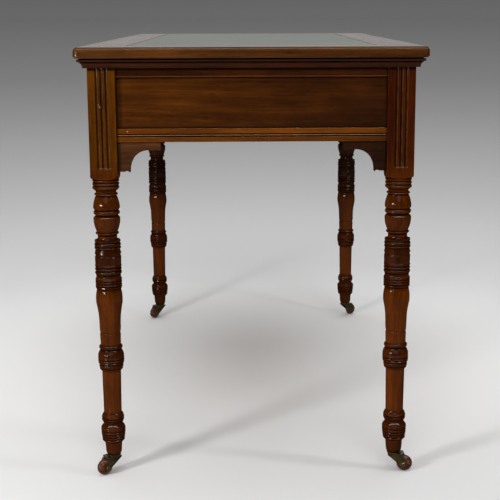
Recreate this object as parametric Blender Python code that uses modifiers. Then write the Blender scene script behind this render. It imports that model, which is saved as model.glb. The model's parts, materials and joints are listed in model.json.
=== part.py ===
"""Writing desk: leather-lined top, fluted posts on turned legs, brass castors and two frieze drawers.

Run it with blender --background --python part.py, or from Blender's text editor.
Metres, +Z up. +X runs along the desk, the sitter is at -Y and the floor is at Z = 0.
The origin is on the floor under the middle of the top. Left and right are the sitter's.
"""

import math

import bmesh
import bpy
from mathutils import Matrix, Vector

# Whole desk
DESK_LENGTH = 1.1964
DESK_DEPTH = 0.5954
DESK_HEIGHT = 0.762
SEAT_GAP = 0.0003
CUT_OVERRUN = 0.004
MERGE_DISTANCE = 0.00001

# Top board and its leather
TOP_THICKNESS = 0.0184
TOP_OVERHANG = 0.0207
TOP_EDGE_ROUND = 0.0070
TOP_UNDER_ROUND = 0.0025
TOP_CORNER_ROUND = 0.009
BORDER_WIDTH = 0.0812
LEATHER_THICKNESS = 0.0014
LEATHER_SINK = 0.0001

# Moulding planted round the frame under the top
MOULDING_HEIGHT = 0.0160
MOULDING_FILLET_HEIGHT = 0.0012
MOULDING_FILLET_DEPTH = 0.0110
MOULDING_BEAD_HEIGHT = 0.0044
MOULDING_BEAD_DEPTH = 0.0150
MOULDING_QUIRK_HEIGHT = 0.0014
MOULDING_COVE_DEPTH = 0.0118
MOULDING_FOOT_DEPTH = 0.0065
MOULDING_FOOT_HEIGHT = 0.0012

# Posts and legs, each from one square blank
POST_WIDTH = 0.047
CASTOR_HEIGHT = 0.0355
TURNED_LENGTH = 0.5025
SHOULDER_LENGTH = 0.010
LEG_SIDES = 16
FLUTE_COUNT = 3
FLUTE_PITCH = 0.0070
FLUTE_RADIUS = 0.0032
FLUTE_DEPTH = 0.0017
FLUTE_STOP_HEIGHT = 0.556
FLUTE_SIDES = 8

# Frieze
FRIEZE_HEIGHT = 0.1416
UPPER_RAIL_HEIGHT = 0.0321
LOWER_RAIL_HEIGHT = 0.0230
RAIL_THICKNESS = 0.022
RAIL_SETBACK = 0.004
RAIL_GROOVE = 0.0010
LOWER_RAIL_BEAD = 0.0036
LOWER_RAIL_FOOT = 0.0085
UPPER_RAIL_LIP = 0.0030
PANEL_THICKNESS = 0.010
PANEL_RECESS = 0.006
DIVISION_WIDTH = 0.022

# Brackets under the lower rails
BRACKET_LENGTH = 0.073
BRACKET_DROP = 0.0520
BRACKET_THICKNESS = 0.016
BRACKET_SETBACK = 0.007
BRACKET_ARM_HEIGHT = 0.0140
BRACKET_LEG_WIDTH = 0.0205
BRACKET_ARCH_LENGTH = 0.0310
BRACKET_NOTCH_LENGTH = 0.0080
BRACKET_NOTCH_HEIGHT = 0.0025

# Drawers
DRAWER_BACK_SPACE = 0.084
DRAWER_PLAY = 0.0008
DRAWER_FRONT_THICKNESS = 0.020
DRAWER_SIDE_THICKNESS = 0.009
DRAWER_SIDE_HEIGHT = 0.070
DRAWER_BOTTOM_THICKNESS = 0.005
DRAWER_BOTTOM_LIFT = 0.004
COCKBEAD_WIDTH = 0.0030
COCKBEAD_PROUD = 0.0015
RUNNER_HEIGHT = 0.018
RUNNER_LEDGE = 0.014
GUIDE_HEIGHT = 0.012

# Drop handles
HANDLE_PLATE_LENGTH = 0.100
HANDLE_PLATE_HEIGHT = 0.027
HANDLE_PLATE_THICKNESS = 0.0018
HANDLE_RISE = 0.006
HANDLE_SPAN = 0.070
HANDLE_POST_RADIUS = 0.0048
HANDLE_POST_REACH = 0.0150
HANDLE_NECK_RADIUS = 0.0030
BAIL_RADIUS = 0.0021
BAIL_DROP = 0.027
BAIL_PIN_DEPTH = 0.0030
BAIL_PLAY = 0.0005

# Castors
WHEEL_RADIUS = 0.0145
WHEEL_WIDTH = 0.0170
WHEEL_BOSS_SHARE = 0.33
WHEEL_SIDES = 20
CASTOR_TRAIL = 0.0200
CASTOR_PLATE_RADIUS = 0.0125
CASTOR_PLATE_THICKNESS = 0.0015
CASTOR_PIN_RADIUS = 0.0030
CASTOR_PIN_HEAD_RADIUS = 0.0045
CASTOR_PIN_HEAD_THICKNESS = 0.0010
HORN_RADIUS = 0.0110
HORN_CROWN_THICKNESS = 0.0025
HORN_BRIDGE_LENGTH = 0.0170
HORN_ARM_THICKNESS = 0.0024
HORN_ARM_END_RADIUS = 0.0058
HORN_ARM_REACH_SHARE = 0.85
AXLE_RADIUS = 0.0018
AXLE_HEAD_RADIUS = 0.0034
AXLE_HEAD_THICKNESS = 0.0010
RUNNING_GAP = 0.0005
SMALL_ROUND_SIDES = 12
PLATE_SIDES = 16

# The turning, from the square down to the foot. Each row is the form, its share of the turned
# length, and as shares of half the post's width the radius that it ends on and, for a bead or a
# cove, the radius at its middle.
TURNING_START_SHARE = 0.950
TURNING_SHARES = (
    ("bead", 0.0124, 0.950, 0.990),
    ("bead", 0.0120, 0.950, 0.990),
    ("bead", 0.0126, 0.945, 0.995),
    ("hollow", 0.0074, 0.757, None),
    ("band", 0.0046, 0.757, None),
    ("bead", 0.0090, 0.800, 0.872),
    ("band", 0.0050, 0.813, None),
    ("round", 0.0379, 0.983, None),
    ("fall", 0.0082, 0.877, None),
    ("bead", 0.0177, 0.877, 0.979),
    ("band", 0.0040, 0.877, None),
    ("round", 0.0074, 0.983, None),
    ("band", 0.0056, 0.983, None),
    ("fall", 0.0413, 0.774, None),
    ("bead", 0.0110, 0.745, 0.866),
    ("cove", 0.0179, 0.770, 0.711),
    ("band", 0.0004, 0.945, None),
    ("bead", 0.0084, 0.936, 0.962),
    ("bead", 0.0150, 0.957, 0.983),
    ("bead", 0.0080, 0.970, 0.990),
    ("band", 0.0169, 0.983, None),
    ("cove", 0.0106, 0.975, 0.919),
    ("band", 0.0269, 0.962, None),
    ("bead", 0.0112, 0.957, 0.991),
    ("bead", 0.0112, 0.957, 0.991),
    ("bead", 0.0140, 0.957, 0.995),
    ("cove", 0.0132, 0.957, 0.902),
    ("bead", 0.0091, 0.964, 0.995),
    ("bead", 0.0091, 0.964, 0.995),
    ("bead", 0.0091, 0.964, 0.995),
    ("bead", 0.0091, 0.950, 0.990),
    ("cove", 0.0110, 0.936, 0.906),
    ("round", 0.0239, 0.995, None),
    ("band", 0.0100, 0.995, None),
    ("fall", 0.0144, 0.955, None),
    ("hollow", 0.0558, 0.809, None),
    ("band", 0.0404, 0.783, None),
    ("cove", 0.0100, 0.783, 0.740),
    ("band", 0.0379, 0.757, None),
    ("bead", 0.0169, 0.813, 0.883),
    ("band", 0.0030, 0.813, None),
    ("round", 0.0199, 0.974, None),
    ("cove", 0.0050, 0.972, 0.955),
    ("bead", 0.0090, 0.966, 0.987),
    ("bead", 0.0090, 0.960, 0.983),
    ("bead", 0.0080, 0.905, 0.968),
    ("bead", 0.0160, 0.885, 0.910),
    ("fall", 0.0100, 0.711, None),
    ("band", 0.1552, 0.672, None),
    ("hollow", 0.0110, 0.809, None),
    ("bead", 0.0100, 0.826, 0.855),
    ("bead", 0.0100, 0.809, 0.851),
    ("fall", 0.0070, 0.706, None),
    ("band", 0.0050, 0.711, None),
    ("round", 0.0140, 0.919, None),
    ("bead", 0.0110, 0.915, 0.932),
    ("bead", 0.0100, 0.902, 0.923),
    ("bead", 0.0100, 0.872, 0.906),
    ("bead", 0.0100, 0.834, 0.868),
    ("bead", 0.0100, 0.723, 0.845),
    ("hollow", 0.0100, 0.638, None),
    ("band", 0.0264, 0.604, None),
    ("fall", 0.0140, 0.468, None),
)
CURVE_STEPS = 2
SHORT_FORM_SHARE = 0.015

# Heights and distances worked out from the sizes above
POST_HALF = POST_WIDTH / 2
FRAME_TOP = DESK_HEIGHT - TOP_THICKNESS - SEAT_GAP
FRIEZE_BOTTOM = DESK_HEIGHT - TOP_THICKNESS - FRIEZE_HEIGHT
LOWER_RAIL_TOP = FRIEZE_BOTTOM + LOWER_RAIL_HEIGHT
UPPER_RAIL_BOTTOM = FRAME_TOP - UPPER_RAIL_HEIGHT
OPENING_HEIGHT = UPPER_RAIL_BOTTOM - LOWER_RAIL_TOP
TURNING_TOP = CASTOR_HEIGHT + TURNED_LENGTH
FRAME_HALF_LENGTH = DESK_LENGTH / 2 - TOP_OVERHANG
FRAME_HALF_DEPTH = DESK_DEPTH / 2 - TOP_OVERHANG
POST_X = FRAME_HALF_LENGTH - POST_HALF
POST_Y = FRAME_HALF_DEPTH - POST_HALF
RAIL_BACK = RAIL_SETBACK + RAIL_THICKNESS
UP = Vector((0, 0, 1))

# Each side's outward direction, the distance of its posts' outer faces, and that of the sides
# that it meets at the corners
SIDES = {
    "front": (Vector((0, -1, 0)), FRAME_HALF_DEPTH, FRAME_HALF_LENGTH),
    "right": (Vector((1, 0, 0)), FRAME_HALF_LENGTH, FRAME_HALF_DEPTH),
    "back": (Vector((0, 1, 0)), FRAME_HALF_DEPTH, FRAME_HALF_LENGTH),
    "left": (Vector((-1, 0, 0)), FRAME_HALF_LENGTH, FRAME_HALF_DEPTH),
}

# Corner names with their signs along X and Y, the turn of a leg whose fluted faces look out, and
# the direction in which that castor's wheel happens to trail, in degrees from +X
CORNERS = {
    "back_right": (1, 1, 0, 77),
    "back_left": (-1, 1, 90, 130),
    "front_left": (-1, -1, 180, -45),
    "front_right": (1, -1, 270, -53),
}

# Name: base colour, roughness, metallic
FINISHES = {
    "polished_mahogany": ((0.155, 0.045, 0.014), 0.26, 0.0),
    "drawer_lining": ((0.36, 0.21, 0.10), 0.60, 0.0),
    "green_leather": ((0.085, 0.115, 0.082), 0.42, 0.0),
    "aged_brass": ((0.50, 0.35, 0.14), 0.34, 1.0),
    "brown_ceramic": ((0.150, 0.060, 0.034), 0.24, 0.0),
}


def clear_scene():
    """Remove every object, so that only the desk is in the file."""
    for old in list(bpy.data.objects):
        bpy.data.objects.remove(old, do_unlink=True)


def make_collection(name):
    """Add a collection to the scene."""
    collection = bpy.data.collections.new(name)
    bpy.context.scene.collection.children.link(collection)
    return collection


def make_material(name, colour, roughness, metallic):
    """Make a plain material of one finish."""
    material = bpy.data.materials.new(name)
    material.use_nodes = True
    shader = material.node_tree.nodes["Principled BSDF"]
    shader.inputs["Base Color"].default_value = (*colour, 1)
    shader.inputs["Roughness"].default_value = roughness
    shader.inputs["Metallic"].default_value = metallic
    material.diffuse_color = (*colour, 1)
    return material


clear_scene()
DESK = make_collection("writing_desk")
CUTTERS = make_collection("cutters")
MATERIALS = {name: make_material(name, *finish) for name, finish in FINISHES.items()}


def add_piece(name, mesh, finish, place=None, collection=DESK):
    """Put a mesh in the desk as a named piece, placed by a matrix."""
    piece = bpy.data.objects.new(name, mesh)
    if not mesh.materials:
        mesh.materials.append(MATERIALS[finish])
    collection.objects.link(piece)
    piece.matrix_world = place or Matrix()
    return piece


def smooth(mesh, angle):
    """Shade a mesh smooth, with edges sharper than the angle left crisp."""
    mesh.shade_smooth()
    mesh.set_sharp_from_angle(angle=math.radians(angle))


def baked(source, crease=35):
    """Read an object as its modifiers leave it, weld it, shade it, and remove the object."""
    bpy.context.view_layer.update()
    depsgraph = bpy.context.evaluated_depsgraph_get()
    mesh = bpy.data.meshes.new_from_object(source.evaluated_get(depsgraph), depsgraph=depsgraph)
    mesh.name = source.name
    mesh.materials.clear()
    shape = bmesh.new()
    shape.from_mesh(mesh)
    bmesh.ops.remove_doubles(shape, verts=shape.verts, dist=MERGE_DISTANCE)
    bmesh.ops.dissolve_degenerate(shape, edges=shape.edges, dist=MERGE_DISTANCE)
    bmesh.ops.recalc_face_normals(shape, faces=shape.faces)
    shape.to_mesh(mesh)
    shape.free()
    smooth(mesh, crease)
    bpy.data.objects.remove(source, do_unlink=True)
    return mesh


def prism_mesh(name, outline, thickness):
    """Extrude a flat outline in local XY by its thickness, half to each side of it."""
    curve = bpy.data.curves.new(name, "CURVE")
    curve.dimensions = "2D"
    curve.fill_mode = "BOTH"
    curve.extrude = thickness / 2
    curve.render_resolution_u = 0
    spline = curve.splines.new("POLY")
    spline.points.add(len(outline) - 1)
    for point, (x, y) in zip(spline.points, outline):
        point.co = (x, y, 0, 1)
    spline.use_cyclic_u = True
    source = bpy.data.objects.new(name, curve)
    CUTTERS.objects.link(source)
    return baked(source)


def box_mesh(name, low, high):
    """Make a box between two corners."""
    shape = bmesh.new()
    size = [b - a for a, b in zip(low, high)]
    middle = [(a + b) / 2 for a, b in zip(low, high)]
    bmesh.ops.create_cube(shape, size=1, matrix=Matrix.LocRotScale(middle, None, size))
    mesh = bpy.data.meshes.new(name)
    shape.to_mesh(mesh)
    shape.free()
    return mesh


def turned_mesh(name, outline, sides, crease=35):
    """Turn an outline of (radius, height) rows, top to bottom, about local Z."""
    mesh = bpy.data.meshes.new(name)
    edges = [(i, i + 1) for i in range(len(outline) - 1)]
    mesh.from_pydata([(radius, 0, height) for radius, height in outline], edges, [])
    source = bpy.data.objects.new(name, mesh)
    CUTTERS.objects.link(source)
    screw = source.modifiers.new("turn", "SCREW")
    screw.steps = sides
    screw.render_steps = sides
    screw.use_merge_vertices = True
    screw.merge_threshold = MERGE_DISTANCE
    return baked(source, crease)


def combined(name, base, operation, others):
    """Join, cut or intersect a mesh with placed meshes, given as (mesh, matrix) pairs."""
    piece = bpy.data.objects.new(name, base)
    CUTTERS.objects.link(piece)
    helpers = []
    for i, (mesh, place) in enumerate(others):
        helper = bpy.data.objects.new(f"{name}_helper_{i}", mesh)
        helper.matrix_world = place
        helper.display_type = "WIRE"
        helper.hide_render = True
        CUTTERS.objects.link(helper)
        boolean = piece.modifiers.new(f"{operation}_{i}", "BOOLEAN")
        boolean.operation = operation
        boolean.solver = "EXACT"
        boolean.object = helper
        helpers.append(helper)
    mesh = baked(piece)
    for helper in helpers:
        bpy.data.objects.remove(helper, do_unlink=True)
    return mesh


def shift(x=0, y=0, z=0):
    """Shorthand for a move."""
    return Matrix.Translation((x, y, z))


def turn(degrees, axis="Z"):
    """Shorthand for a turn about one axis."""
    return Matrix.Rotation(math.radians(degrees), 4, axis)


def arc(centre, radii, start, end, steps):
    """Points on an elliptical arc, both ends included, with its angles in degrees."""
    points = []
    for i in range(steps + 1):
        angle = math.radians(start + (end - start) * i / steps)
        points.append((centre[0] + radii[0] * math.cos(angle), centre[1] + radii[1] * math.sin(angle)))
    return points


def frame_of(x_axis, y_axis, origin):
    """Matrix whose local X and Y lie along two directions."""
    z_axis = x_axis.cross(y_axis)
    matrix = Matrix((x_axis, y_axis, z_axis)).transposed().to_4x4()
    matrix.translation = origin
    return matrix


def along(side):
    """Direction along a side, to the right for someone who faces it from outside."""
    return UP.cross(SIDES[side][0])


def face_frame(side, depth):
    """Local X along a side, Y up and Z out, at a depth behind its posts' outer faces."""
    normal, distance, _ = SIDES[side]
    return frame_of(along(side), UP, normal * (distance - depth))


def section_frame(side):
    """Local X out of a side from its posts' outer faces, Y up, and Z along it."""
    normal, distance, _ = SIDES[side]
    return frame_of(normal, UP, normal * distance)


def form_steps(form, length_share):
    """How many straight steps a turned form gets."""
    if form == "band":
        return 1
    if form in ("bead", "cove") or length_share > SHORT_FORM_SHARE:
        return CURVE_STEPS
    return 1


def turned_outline():
    """Expand the table of turned forms into (radius, height) rows, from the top down."""
    height = TURNING_TOP
    radius = TURNING_START_SHARE * POST_HALF
    outline = [(radius, height)]
    for form, length_share, end_share, middle_share in TURNING_SHARES:
        drop = length_share * TURNED_LENGTH
        end = end_share * POST_HALF
        bulge = 0
        if middle_share:
            bulge = middle_share * POST_HALF - (radius + end) / 2
        steps = form_steps(form, length_share)
        for i in range(1, steps + 1):
            t = i / steps
            blend = t
            if form in ("round", "hollow"):
                blend = math.sin(math.pi / 2 * t)
            elif form == "fall":
                blend = 1 - math.cos(math.pi / 2 * t)
            level = radius + (end - radius) * blend + bulge * math.sin(math.pi * t)
            outline.append((level, height - drop * t))
        height -= drop
        radius = end
    return outline


def flute_cutter():
    """Round-ended rod that cuts one stopped flute, its stop at the local origin."""
    height = FRAME_TOP - FLUTE_STOP_HEIGHT + CUT_OVERRUN
    outline = [(0, height), (FLUTE_RADIUS, height)]
    outline += arc((0, FLUTE_RADIUS), (FLUTE_RADIUS, FLUTE_RADIUS), 0, -45, 1)
    outline.append((0, 0))
    return turned_mesh("flute_cutter", outline, FLUTE_SIDES)


def leg_mesh():
    """Post and leg in one, turned from a square blank, with flutes on its +X and +Y faces."""
    start = TURNING_START_SHARE * POST_HALF
    corner = POST_HALF * math.sqrt(2)
    clear = corner + CUT_OVERRUN
    shoulder_top = TURNING_TOP + SHOULDER_LENGTH
    shoulder = arc((start, shoulder_top), (corner - start, SHOULDER_LENGTH), 0, -90, 4)
    outline = [(0, FRAME_TOP + CUT_OVERRUN), (clear, FRAME_TOP + CUT_OVERRUN), (clear, shoulder_top)]
    outline += shoulder[:-1]
    outline += turned_outline()
    outline.append((0, CASTOR_HEIGHT))
    spindle = turned_mesh("leg_spindle", outline, LEG_SIDES)
    spindle.transform(turn(180 / LEG_SIDES))
    blank_low = (-POST_HALF, -POST_HALF, CASTOR_HEIGHT - CUT_OVERRUN)
    blank = box_mesh("leg_blank", blank_low, (POST_HALF, POST_HALF, FRAME_TOP))
    leg = combined("leg", spindle, "INTERSECT", [(blank, Matrix())])
    cutter = flute_cutter()
    outside = POST_HALF + FLUTE_RADIUS - FLUTE_DEPTH
    flutes = []
    for i in range(FLUTE_COUNT):
        offset = (i - (FLUTE_COUNT - 1) / 2) * FLUTE_PITCH
        flutes.append((cutter, shift(outside, offset, FLUTE_STOP_HEIGHT)))
        flutes.append((cutter, shift(offset, outside, FLUTE_STOP_HEIGHT)))
    return combined("leg", leg, "DIFFERENCE", flutes)


def add_legs():
    """Four legs, fluted on the faces that look out."""
    mesh = leg_mesh()
    for corner, (x_sign, y_sign, degrees, _) in CORNERS.items():
        place = shift(x_sign * POST_X, y_sign * POST_Y) @ turn(degrees)
        add_piece(f"leg_{corner}", mesh, "polished_mahogany", place)


def rounded_rectangle(half_x, half_y, radius, steps=5):
    """Corner points of a rectangle with round corners, counter-clockwise."""
    points = []
    for i, (x_sign, y_sign) in enumerate(((1, 1), (-1, 1), (-1, -1), (1, -1))):
        centre = (x_sign * (half_x - radius), y_sign * (half_y - radius))
        points += arc(centre, (radius, radius), 90 * i, 90 * i + 90, steps)
    return points


def add_top():
    """Top board with rounded edges and a shallow bed, and the leather laid in the bed."""
    half_x = DESK_LENGTH / 2
    half_y = DESK_DEPTH / 2
    mesh = prism_mesh("top_board", rounded_rectangle(half_x, half_y, TOP_CORNER_ROUND), TOP_THICKNESS)
    shape = bmesh.new()
    shape.from_mesh(mesh)
    for level, width, segments in ((1, TOP_EDGE_ROUND, 4), (-1, TOP_UNDER_ROUND, 1)):
        rim = [
            edge
            for edge in shape.edges
            if all(vert.co.z * level > TOP_THICKNESS / 4 for vert in edge.verts)
            and len(edge.link_faces) == 2
            and any(abs(face.normal.z) < 0.5 for face in edge.link_faces)
        ]
        bmesh.ops.bevel(shape, geom=rim, offset=width, segments=segments, profile=0.5, affect="EDGES")
    shape.to_mesh(mesh)
    shape.free()
    bed_x = half_x - BORDER_WIDTH
    bed_y = half_y - BORDER_WIDTH
    bed_depth = LEATHER_THICKNESS + LEATHER_SINK + SEAT_GAP
    bed_low = (-bed_x, -bed_y, TOP_THICKNESS / 2 - bed_depth)
    bed = box_mesh("bed", bed_low, (bed_x, bed_y, TOP_THICKNESS / 2 + CUT_OVERRUN))
    board = combined("top_board", mesh, "DIFFERENCE", [(bed, Matrix())])
    add_piece("top_board", board, "polished_mahogany", shift(z=DESK_HEIGHT - TOP_THICKNESS / 2))
    leather_top = DESK_HEIGHT - LEATHER_SINK
    leather = box_mesh(
        "leather_top",
        (-bed_x + SEAT_GAP, -bed_y + SEAT_GAP, leather_top - LEATHER_THICKNESS),
        (bed_x - SEAT_GAP, bed_y - SEAT_GAP, leather_top),
    )
    add_piece("leather_top", leather, "green_leather")


def moulding_outline():
    """Section of the moulding under the top: a fillet, a bead, a quirk and a cove."""
    bead_top = -MOULDING_FILLET_HEIGHT
    bead_bottom = bead_top - MOULDING_BEAD_HEIGHT
    cove_top = bead_bottom - MOULDING_QUIRK_HEIGHT
    cove_bottom = -MOULDING_HEIGHT + MOULDING_FOOT_HEIGHT
    bead_radius = MOULDING_BEAD_HEIGHT / 2
    bead_centre = (MOULDING_BEAD_DEPTH - bead_radius, bead_bottom + bead_radius)
    outline = [(SEAT_GAP, 0), (MOULDING_FILLET_DEPTH, 0), (MOULDING_FILLET_DEPTH, bead_top)]
    outline += arc(bead_centre, (bead_radius, bead_radius), 90, -90, 6)
    outline += [(MOULDING_FILLET_DEPTH, bead_bottom), (MOULDING_FILLET_DEPTH, cove_top)]
    outline += arc(
        (MOULDING_COVE_DEPTH, cove_bottom),
        (MOULDING_COVE_DEPTH - MOULDING_FOOT_DEPTH, cove_top - cove_bottom),
        90,
        180,
        6,
    )
    outline += [(MOULDING_FOOT_DEPTH, -MOULDING_HEIGHT), (SEAT_GAP, -MOULDING_HEIGHT)]
    return outline


def mitre(mesh, half_length):
    """Cut both ends of an extruded section at 45 degrees, longer where it stands further out."""
    shape = bmesh.new()
    shape.from_mesh(mesh)
    for sign in (1, -1):
        geometry = shape.verts[:] + shape.edges[:] + shape.faces[:]
        cut = bmesh.ops.bisect_plane(
            shape,
            geom=geometry,
            plane_co=(0, 0, sign * (half_length - SEAT_GAP)),
            plane_no=(-1, 0, sign),
            clear_outer=True,
        )
        rim = [element for element in cut["geom_cut"] if isinstance(element, bmesh.types.BMEdge)]
        bmesh.ops.contextual_create(shape, geom=rim)
    bmesh.ops.recalc_face_normals(shape, faces=shape.faces)
    shape.to_mesh(mesh)
    shape.free()


def add_mouldings():
    """Four mitred lengths of moulding round the frame, tight under the top."""
    for side, (_, _, half_length) in SIDES.items():
        length = 2 * (half_length + MOULDING_BEAD_DEPTH + CUT_OVERRUN)
        mesh = prism_mesh(f"top_moulding_{side}", moulding_outline(), length)
        mitre(mesh, half_length)
        place = section_frame(side) @ shift(y=FRAME_TOP)
        add_piece(f"top_moulding_{side}", mesh, "polished_mahogany", place)


def lower_rail_outline():
    """Section of a lower rail: a wide band, a bead between two grooves, and a foot band."""
    front = -RAIL_SETBACK
    groove = front - RAIL_GROOVE
    bottom = FRIEZE_BOTTOM
    lower_groove = bottom + LOWER_RAIL_FOOT
    bead_bottom = lower_groove + RAIL_GROOVE
    bead_top = bead_bottom + LOWER_RAIL_BEAD
    upper_groove = bead_top + RAIL_GROOVE
    outline = [(-RAIL_BACK, bottom), (front, bottom), (front, lower_groove)]
    outline += [(groove, lower_groove), (groove, bead_bottom)]
    bead_middle = (groove, (bead_bottom + bead_top) / 2)
    outline += arc(bead_middle, (RAIL_GROOVE, LOWER_RAIL_BEAD / 2), -90, 90, 6)[1:-1]
    outline += [(groove, bead_top), (groove, upper_groove), (front, upper_groove)]
    outline += [(front, LOWER_RAIL_TOP), (-RAIL_BACK, LOWER_RAIL_TOP)]
    return outline


def upper_rail_outline():
    """Section of an upper rail, with a rounded lip along its lower edge."""
    front = -RAIL_SETBACK
    lip = UPPER_RAIL_LIP / 2
    outline = [(-RAIL_BACK, UPPER_RAIL_BOTTOM)]
    outline += arc((front, UPPER_RAIL_BOTTOM + lip), (lip, lip), -90, 90, 6)
    outline += [(front, FRAME_TOP), (-RAIL_BACK, FRAME_TOP)]
    return outline


def add_rails(side, prefix):
    """Upper and lower rail between a side's two posts."""
    length = 2 * (SIDES[side][2] - POST_WIDTH - SEAT_GAP)
    for name, outline in (("upper_rail", upper_rail_outline()), ("lower_rail", lower_rail_outline())):
        mesh = prism_mesh(f"{prefix}_{name}", outline, length)
        add_piece(f"{prefix}_{name}", mesh, "polished_mahogany", section_frame(side))


def add_panel(side, prefix):
    """Recessed panel between a side's rails and posts."""
    half = SIDES[side][2] - POST_WIDTH - SEAT_GAP
    front = -RAIL_SETBACK - PANEL_RECESS
    mesh = box_mesh(
        f"{prefix}_panel",
        (-half, LOWER_RAIL_TOP + SEAT_GAP, front - PANEL_THICKNESS),
        (half, UPPER_RAIL_BOTTOM - SEAT_GAP, front),
    )
    add_piece(f"{prefix}_panel", mesh, "polished_mahogany", face_frame(side, 0))


def add_division():
    """Upright between the two drawers."""
    half = DIVISION_WIDTH / 2
    mesh = box_mesh(
        "front_division",
        (-half, LOWER_RAIL_TOP + SEAT_GAP, -RAIL_BACK),
        (half, UPPER_RAIL_BOTTOM - SEAT_GAP, -RAIL_SETBACK),
    )
    add_piece("front_division", mesh, "polished_mahogany", face_frame("front", 0))


def bracket_outline():
    """Shaped bracket: local X away from the post, local Y up from its lowest point to the rail."""
    top = BRACKET_DROP
    arm = top - BRACKET_ARM_HEIGHT
    notch_end = BRACKET_LEG_WIDTH - BRACKET_NOTCH_HEIGHT / 2
    notch_start = notch_end - BRACKET_NOTCH_LENGTH
    arch_end = BRACKET_LEG_WIDTH + BRACKET_ARCH_LENGTH
    outline = [(0, BRACKET_NOTCH_HEIGHT / 2), (notch_start, BRACKET_NOTCH_HEIGHT / 2)]
    notch_middle = (notch_start + notch_end) / 2
    outline += arc((notch_middle, 0), (BRACKET_NOTCH_LENGTH / 2, BRACKET_NOTCH_HEIGHT), 150, 30, 4)
    outline += [(notch_end, 0), (BRACKET_LEG_WIDTH, 0)]
    arch_radii = (BRACKET_ARCH_LENGTH, arm - BRACKET_NOTCH_HEIGHT)
    outline += arc((arch_end, BRACKET_NOTCH_HEIGHT), arch_radii, 180, 90, 10)
    outline += [(BRACKET_LENGTH, arm), (BRACKET_LENGTH, top), (0, top)]
    return outline


def add_brackets():
    """Two brackets under the lower rail of every side, in the corners that it makes with the posts."""
    mesh = prism_mesh("bracket", bracket_outline(), BRACKET_THICKNESS)
    depth = BRACKET_SETBACK + BRACKET_THICKNESS / 2
    height = FRIEZE_BOTTOM - SEAT_GAP - BRACKET_DROP
    for side, (_, _, half_length) in SIDES.items():
        start = half_length - POST_WIDTH - SEAT_GAP
        for hand, degrees, x in (("left", 0, -start), ("right", 180, start)):
            place = face_frame(side, depth) @ shift(x=x, y=height) @ turn(degrees, "Y")
            add_piece(f"bracket_{side}_{hand}", mesh, "polished_mahogany", place)


def add_runners():
    """Runners that carry the drawers: one on each end frame and a wide one down the middle."""
    top = LOWER_RAIL_TOP
    bottom = top - RUNNER_HEIGHT
    outer = FRAME_HALF_LENGTH - RAIL_BACK - SEAT_GAP
    inner = FRAME_HALF_LENGTH - POST_WIDTH - RUNNER_LEDGE
    reach = FRAME_HALF_DEPTH - POST_WIDTH - SEAT_GAP
    for name, sign in (("left", -1), ("right", 1)):
        low, high = sorted((sign * inner, sign * outer))
        mesh = box_mesh(f"drawer_runner_{name}", (low, -reach, bottom), (high, reach, top))
        add_piece(f"drawer_runner_{name}", mesh, "drawer_lining")
    half = DIVISION_WIDTH / 2 + RUNNER_LEDGE
    guide = DIVISION_WIDTH / 2 - DRAWER_PLAY
    outline = [(-half, bottom), (half, bottom), (half, top), (guide, top), (guide, top + GUIDE_HEIGHT)]
    outline += [(-guide, top + GUIDE_HEIGHT), (-guide, top), (-half, top)]
    length = 2 * (FRAME_HALF_DEPTH - RAIL_BACK - SEAT_GAP)
    place = frame_of(Vector((1, 0, 0)), UP, Vector())
    mesh = prism_mesh("drawer_runner_middle", outline, length)
    add_piece("drawer_runner_middle", mesh, "drawer_lining", place)


def drawer_front_mesh(half_width, height):
    """Drawer front with a cockbead round its face, local X across, Y up and Z out."""
    board = box_mesh("drawer_front", (-half_width, 0, -DRAWER_FRONT_THICKNESS), (half_width, height, 0))
    outer = box_mesh("cockbead", (-half_width, 0, -CUT_OVERRUN), (half_width, height, COCKBEAD_PROUD))
    inset = COCKBEAD_WIDTH
    field_high = (half_width - inset, height - inset, CUT_OVERRUN)
    field = box_mesh("field", (-half_width + inset, inset, 0), field_high)
    raised = combined("drawer_front", board, "UNION", [(outer, Matrix())])
    return combined("drawer_front", raised, "DIFFERENCE", [(field, Matrix())])


def bail_points():
    """Path of a drop handle, from one pin down, across and up to the other, local X and Z."""
    half = HANDLE_SPAN / 2
    pin_end = half + HANDLE_POST_RADIUS - BAIL_PIN_DEPTH
    shank = half + HANDLE_POST_RADIUS + BAIL_RADIUS + BAIL_PLAY * 2
    corner = BAIL_DROP / 2
    points = [(pin_end, 0), (shank, 0)]
    points += arc((shank - corner, -BAIL_DROP + corner), (corner, corner), 0, -90, 6)
    return points + [(-x, z) for x, z in reversed(points)]


def bail_mesh():
    """Drop handle, its pins on the local X axis."""
    curve = bpy.data.curves.new("bail", "CURVE")
    curve.dimensions = "3D"
    curve.bevel_depth = BAIL_RADIUS
    curve.bevel_resolution = 2
    curve.use_fill_caps = True
    curve.render_resolution_u = 0
    spline = curve.splines.new("POLY")
    points = bail_points()
    spline.points.add(len(points) - 1)
    for point, (x, z) in zip(spline.points, points):
        point.co = (x, 0, z, 1)
    source = bpy.data.objects.new("bail", curve)
    CUTTERS.objects.link(source)
    return baked(source, 60)


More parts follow.
